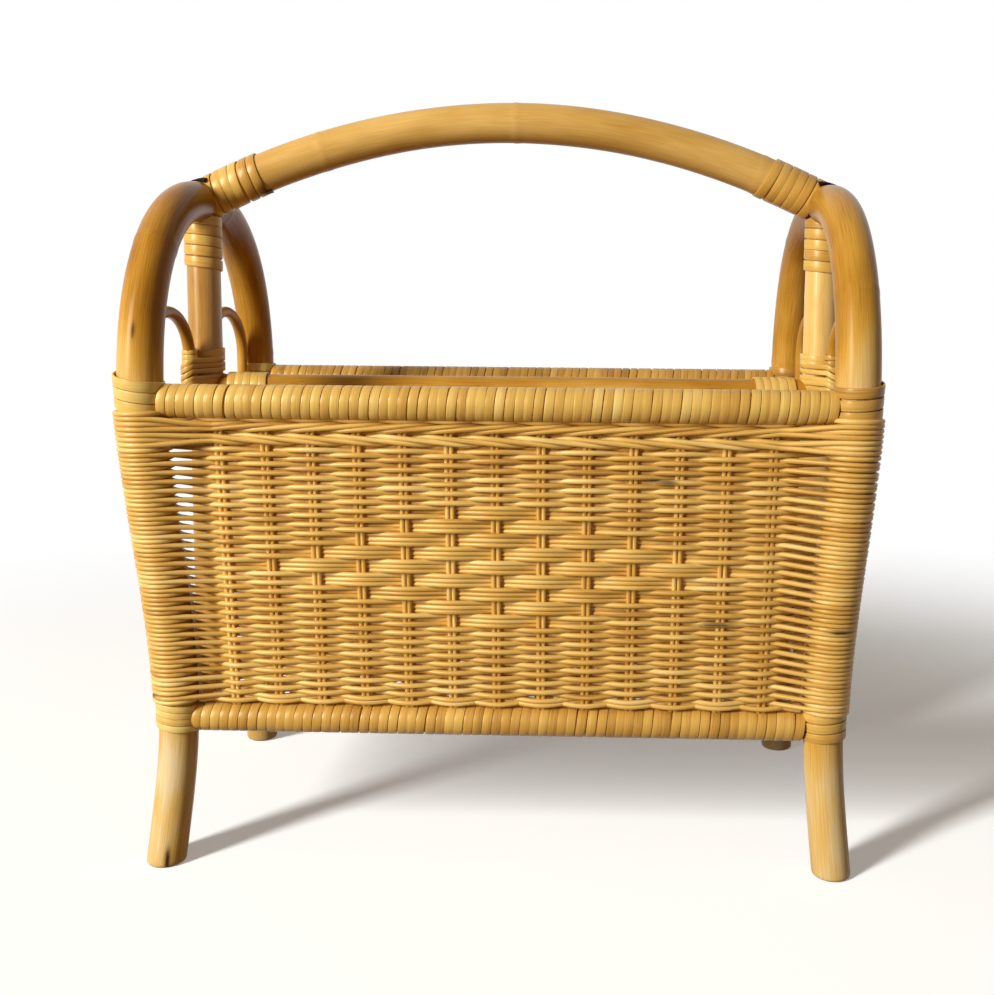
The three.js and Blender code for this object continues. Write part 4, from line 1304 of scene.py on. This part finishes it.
def wale_run(height, slant, swing, rod):
    """Over three pairs the rod spends two in front and one behind: out is the hyperbolic
    tangent of a sharpness times (cosine plus a half), and that sum is above zero for two
    thirds of a round. The rod climbs or falls evenly in front and returns behind."""
    x = np.linspace(pair_x[0] - WALE_OVERRUN, pair_x[-1] + WALE_OVERRUN, WALE_POINTS)
    phase = (((x - pair_x[0]) / PAIR_SPACING - rod) / WALE_RODS + 1 / 6) % 1
    out = WALE_DEPTH * np.tanh(WALE_SHARPNESS * (np.cos(2 * np.pi * (phase - 1 / 3)) + 0.5))
    up = height + slant * swing * np.interp(phase, [0, 2 / 3, 1], [-1, 1, -1])
    return smoothed(np.stack([x, out, up], axis=1), 3)


def leg_ring(end, level, last):
    """A rod's way from where it meets the leg: from the touching point at the leg's front,
    round its outside and its back, and nearly to the front again, at one height."""
    (centre,), (centre_out,), reach = leg_circle(end, level)
    first = touch_angle(centre_out, reach, last[1], abs(centre - last[0]))
    turn = np.linspace(first, first + RING_TURN, RING_STEPS)
    across = centre + end * reach * np.sin(turn)
    return np.stack([across, centre_out + reach * np.cos(turn), np.full(RING_STEPS, level)], axis=1)


def wale_rods(side):
    """All six rods, each run between its two legs. At each leg the rods are ranked by height
    and take one ring each, from the lowest up."""
    runs = [wale_run(*wale, rod) for wale in WALES for rod in range(WALE_RODS)]
    paths = list(runs)
    for end, tip in ((LEFT, 0), (RIGHT, -1)):
        ranks = np.argsort(np.argsort([run[tip, 2] for run in runs]))
        for i, rank in enumerate(ranks):
            last = runs[i][tip]
            ring = leg_ring(end, FIRST_RING_HEIGHT + RING_PITCH * rank, last)
            tail = np.concatenate([run_to(last, ring[0]), ring])
            paths[i] = np.concatenate([tail[::-1], paths[i]] if end == LEFT else [paths[i], tail])
    return [to_panel(side, path) for path in paths]


print("Rods in the wales:", len(wale_rods(FRONT)))

# %% Weave the wales and the closing course
# A twist or a filler rod is given by its height and its half length.
TWISTS = ((266.6 * MM, 186 * MM), (95.9 * MM, 178.5 * MM))
TWIST_DROP = 0.7 * MM
TWIST_POINTS = 170
FILLERS = ((258.6 * MM, 186 * MM), (250.9 * MM, 184 * MM), (93.4 * MM, 176 * MM))
FILLER_DEPTH = -3.0 * MM


def twist_rod(side, height, half, rod):
    """A rod of a two-rod twist: a cosine out of the plane and the same cosine downwards."""
    x = np.linspace(-half, half, TWIST_POINTS)
    turn = np.pi * (x - pair_x[0]) / PAIR_SPACING + np.pi * rod
    flat = np.stack([x, WEAVE_DEPTH * np.cos(turn), height - TWIST_DROP * np.cos(turn)], axis=1)
    return to_panel(side, flat)


def filler_rod(side, height, half):
    """A straight rod behind the stakes."""
    return to_panel(side, np.array([[x, FILLER_DEPTH, height] for x in (-half, 0.0, half)]))


for side in (FRONT, REAR):
    paths = wale_rods(side)
    paths += [twist_rod(side, *twist, rod) for twist in TWISTS for rod in (0, 1)]
    paths += [filler_rod(side, *filler) for filler in FILLERS]
    strands = [sweep(path, Z_AXIS, reed_section) for path in paths]
    make_piece(f"{SIDE_NAME[side]}_wales", strands, reed_finish, "reed")

# %% [markdown]
# ## Plain rings round the legs
# One more turn of reed lies on each leg under the wales' rings, and one over them, where a
# real reed is started and tucked away. Each is one turn of a helix that climbs by nearly the
# reed's own radius, so that it closes the gap to its slanting neighbours.

# %% Wrap the legs just below and just above the wales
PLAIN_RING_HEIGHTS = (248.0 * MM, 268.6 * MM)
PLAIN_RING_CLIMB = 0.9 * REED_RADIUS
turn = np.linspace(0, 2 * np.pi, 30)
for side in (FRONT, REAR):
    for end in (LEFT, RIGHT):
        strands = []
        for foot in PLAIN_RING_HEIGHTS:
            level = foot + PLAIN_RING_CLIMB * turn / (2 * np.pi)
            reach = pole_radius(level) + LEG_GAP + REED_RADIUS
            around = np.outer(np.cos(turn), -side * Y_AXIS) + np.outer(np.sin(turn), end * X_AXIS)
            path = leg_axis(end, side, level) + reach[:, None] * around
            strands.append(sweep(path, Z_AXIS, reed_section))
        make_piece(f"{END_NAME[end]}_{SIDE_NAME[side]}_leg_wrap", strands, reed_finish, "reed")

# %% [markdown]
# ## The base
# The base can't be seen in the photograph. Baskets of this kind have a flat woven floor
# between the lower rails, so it gets a plain weave too, in which four rods at a time go over
# one group of four stakes and under the next. That is quick to weave, and stiff enough for
# books.

# %% Weave the base
BASE_ROD_RADIUS = 1.5 * MM
BASE_PITCH = 3.1 * MM
BASE_DEPTH = 2.95 * MM
BASE_GROUP = 4
BASE_POINTS = 110
BASE_HALF_LENGTH = 182 * MM
LEG_ZONE, LEG_ZONE_HALF_LENGTH = 66 * MM, 179 * MM
BASE_STAKE_OFFSETS = np.array([-3.06, -1.02, 1.02, 3.06])
low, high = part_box("base_panel")
base_height = (low.z + high.z) / 2
half_count = int((high.y - BASE_ROD_RADIUS) / BASE_PITCH - 0.5)
strands = []
for row in range(-half_count - 1, half_count + 1):
    y = BASE_PITCH * (row + 0.5)
    half = LEG_ZONE_HALF_LENGTH if abs(y) > LEG_ZONE else BASE_HALF_LENGTH
    x = np.linspace(-half, half, BASE_POINTS)
    group = math.floor((row + BASE_GROUP / 2) / BASE_GROUP)
    swing = (1 - 2 * (group % 2)) * np.cos(np.pi * (x - pair_x[MIDDLE_PAIR]) / PAIR_SPACING)
    path = np.stack([x, np.full(BASE_POINTS, y), base_height + BASE_DEPTH * swing], axis=1)
    strands.append(sweep(path, Y_AXIS, circle(BASE_ROD_RADIUS, 6)))
for x in (pair_x[:, None] + BASE_ROD_RADIUS * BASE_STAKE_OFFSETS).ravel():
    path = np.linspace((x, low.y, base_height), (x, high.y, base_height), 4)
    strands.append(sweep(path, X_AXIS, circle(BASE_ROD_RADIUS, 8)))
make_piece("woven_base", strands, reed_finish, "reed", "base_panel")

# %% [markdown]
# ## Nails
# The nails sit inside the joints, where nobody sees them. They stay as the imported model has
# them and only get a finish: steel wire, bright from the drawing die, with a roughness that
# changes every 0.8 mm or so.

# %% Finish the nails
DRAWN_GRAIN = 0.8 * MM
steel, tree, output = new_material("drawn steel wire")
place = add_node(tree, "ShaderNodeTexCoord").outputs["Object"]
sockets = {"Vector": place, "Scale": 1 / DRAWN_GRAIN, "Detail": 2.0}
drawn = add_node(tree, "ShaderNodeTexNoise", sockets)
sockets = {"Value": drawn.outputs["Fac"], "To Min": 0.25, "To Max": 0.45}
rough = add_node(tree, "ShaderNodeMapRange", sockets).outputs["Result"]
sockets = {"Base Color": linear("8C8C90"), "Metallic": 1.0, "Roughness": rough}
shader = add_node(tree, "ShaderNodeBsdfPrincipled", sockets)
tree.links.new(shader.outputs["BSDF"], output.inputs["Surface"])
nails = [node for name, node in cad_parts.items() if name.endswith("_nail")]
for nail in nails:
    nail.data.materials.clear()
    nail.data.materials.append(steel)
print("Nails finished:", len(nails))

# %% [markdown]
# ## Floor and background
# The photograph is cut out on white. A matte white floor takes the soft shadow and fades to
# pure white away from the basket. Floor and world are white only for rays that come straight
# from the camera, off gloss or through glass. Every other ray meets a dull warm floor and a
# faint warm sky, so that the white doesn't flood the undersides of the poles.

# %% Floor
FLOOR_SIZE = 12.0
FLOOR_COLOUR = "F4F4F2"
BOUNCE_COLOUR = "807058"
FLOOR_GLOW = 0.25
FADE_START = 0.35
FADE_STOP = 1.1


def background_rays(tree):
    """One for rays from the camera or off gloss, or through glass, and zero for the rest: the
    largest of three flags."""
    path = add_node(tree, "ShaderNodeLightPath").outputs
    value = path["Is Camera Ray"]
    for flag in ("Is Glossy Ray", "Is Transmission Ray"):
        larger = add_node(tree, "ShaderNodeMath", {0: value, 1: path[flag]}, operation="MAXIMUM")
        value = larger.outputs["Value"]
    return value


floor_material, tree, output = new_material("matte white floor")
paper, dull = (
    add_node(tree, "ShaderNodeBsdfDiffuse", {"Color": linear(colour), "Roughness": 0.5})
    for colour in (FLOOR_COLOUR, BOUNCE_COLOUR)
)
glow, plain_white = (
    add_node(tree, "ShaderNodeEmission", {"Color": PURE_WHITE, "Strength": strength})
    for strength in (FLOOR_GLOW, 1.0)
)
lit = add_node(tree, "ShaderNodeAddShader", {0: paper.outputs["BSDF"], 1: glow.outputs["Emission"]})
place = add_node(tree, "ShaderNodeTexCoord").outputs["Object"]
distance = add_node(tree, "ShaderNodeVectorMath", {0: place}, operation="LENGTH").outputs["Value"]
sockets = {"Value": distance, "From Min": FADE_START, "From Max": FADE_STOP}
fade = add_node(tree, "ShaderNodeMapRange", sockets, interpolation_type="SMOOTHSTEP")
sockets = {0: fade.outputs["Result"], 1: lit.outputs["Shader"], 2: plain_white.outputs["Emission"]}
seen = add_node(tree, "ShaderNodeMixShader", sockets)
sockets = {0: background_rays(tree), 1: dull.outputs["BSDF"], 2: seen.outputs["Shader"]}
floor_mix = add_node(tree, "ShaderNodeMixShader", sockets)
tree.links.new(floor_mix.outputs["Shader"], output.inputs["Surface"])

floor_mesh = bpy.data.meshes.new("floor")
half = FLOOR_SIZE / 2
corners = [(-half, -half, 0), (half, -half, 0), (half, half, 0), (-half, half, 0)]
floor_mesh.from_pydata(corners, [], [(0, 1, 2, 3)])
floor_mesh.materials.append(floor_material)
floor = bpy.data.objects.new("floor", floor_mesh)
bpy.context.scene.collection.objects.link(floor)
floor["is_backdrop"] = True
print("Floor in metres:", FLOOR_SIZE)

# %% World
WORLD_LEVEL = 0.12
WORLD_COLOUR = "FFDCA4"
world = bpy.data.worlds.new("white studio")
bpy.context.scene.world = world
world.use_nodes = True
tree = world.node_tree
tree.nodes.clear()
ambient, white = (
    add_node(tree, "ShaderNodeBackground", {"Color": colour, "Strength": strength})
    for colour, strength in ((linear(WORLD_COLOUR), WORLD_LEVEL), (PURE_WHITE, 1.0))
)
skies = {1: ambient.outputs["Background"], 2: white.outputs["Background"]}
sockets = {0: background_rays(tree), **skies}
world_mix = add_node(tree, "ShaderNodeMixShader", sockets)
add_node(tree, "ShaderNodeOutputWorld", {"Surface": world_mix.outputs["Shader"]})
print("World level:", WORLD_LEVEL)

# %% [markdown]
# ## Light
# One tall soft lamp stands at the left front and shines down at about twenty degrees. Each
# reed and each turn of cane gets its own line of light from it, and the right sides of the
# poles fall into shade, as in the photograph. A very weak wide lamp at the right front keeps
# that shade from closing up.

# %% Lamps
KEY_PLACE = np.array([-1.9, -1.8, 1.25])
KEY_SIZE = (0.4, 1.4)
KEY_POWER = 102.0
FILL_PLACE = np.array([1.6, -1.6, 0.8])
FILL_SIZE = (1.6, 1.6)
FILL_POWER = 0.8
LAMP_AIM = np.array([0.0, 0.0, 0.2])


def add_lamp(name, place, size, power):
    """An area lamp of a width and a height that looks from its place at the basket."""
    data = bpy.data.lights.new(name, "AREA")
    data.shape, data.energy = "RECTANGLE", power
    data.size, data.size_y = size
    lamp = bpy.data.objects.new(name, data)
    backward = unit(place - LAMP_AIM)
    side = unit(np.cross(Z_AXIS, backward))
    lamp.matrix_world = standing(place, side, np.cross(backward, side), backward)
    bpy.context.scene.collection.objects.link(lamp)
    print(f"Lamp {name}: {power} watts")


add_lamp("key", KEY_PLACE, KEY_SIZE, KEY_POWER)
add_lamp("fill", FILL_PLACE, FILL_SIZE, FILL_POWER)
bpy.context.scene.view_settings.view_transform = "Standard"

# %% [markdown]
# ## The visual box
# The dressed basket's box is printed, in millimetres.

# %% Print the visual box
low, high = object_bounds()
print("Visual box in mm:", [round(v / MM, 1) for v in high - low])
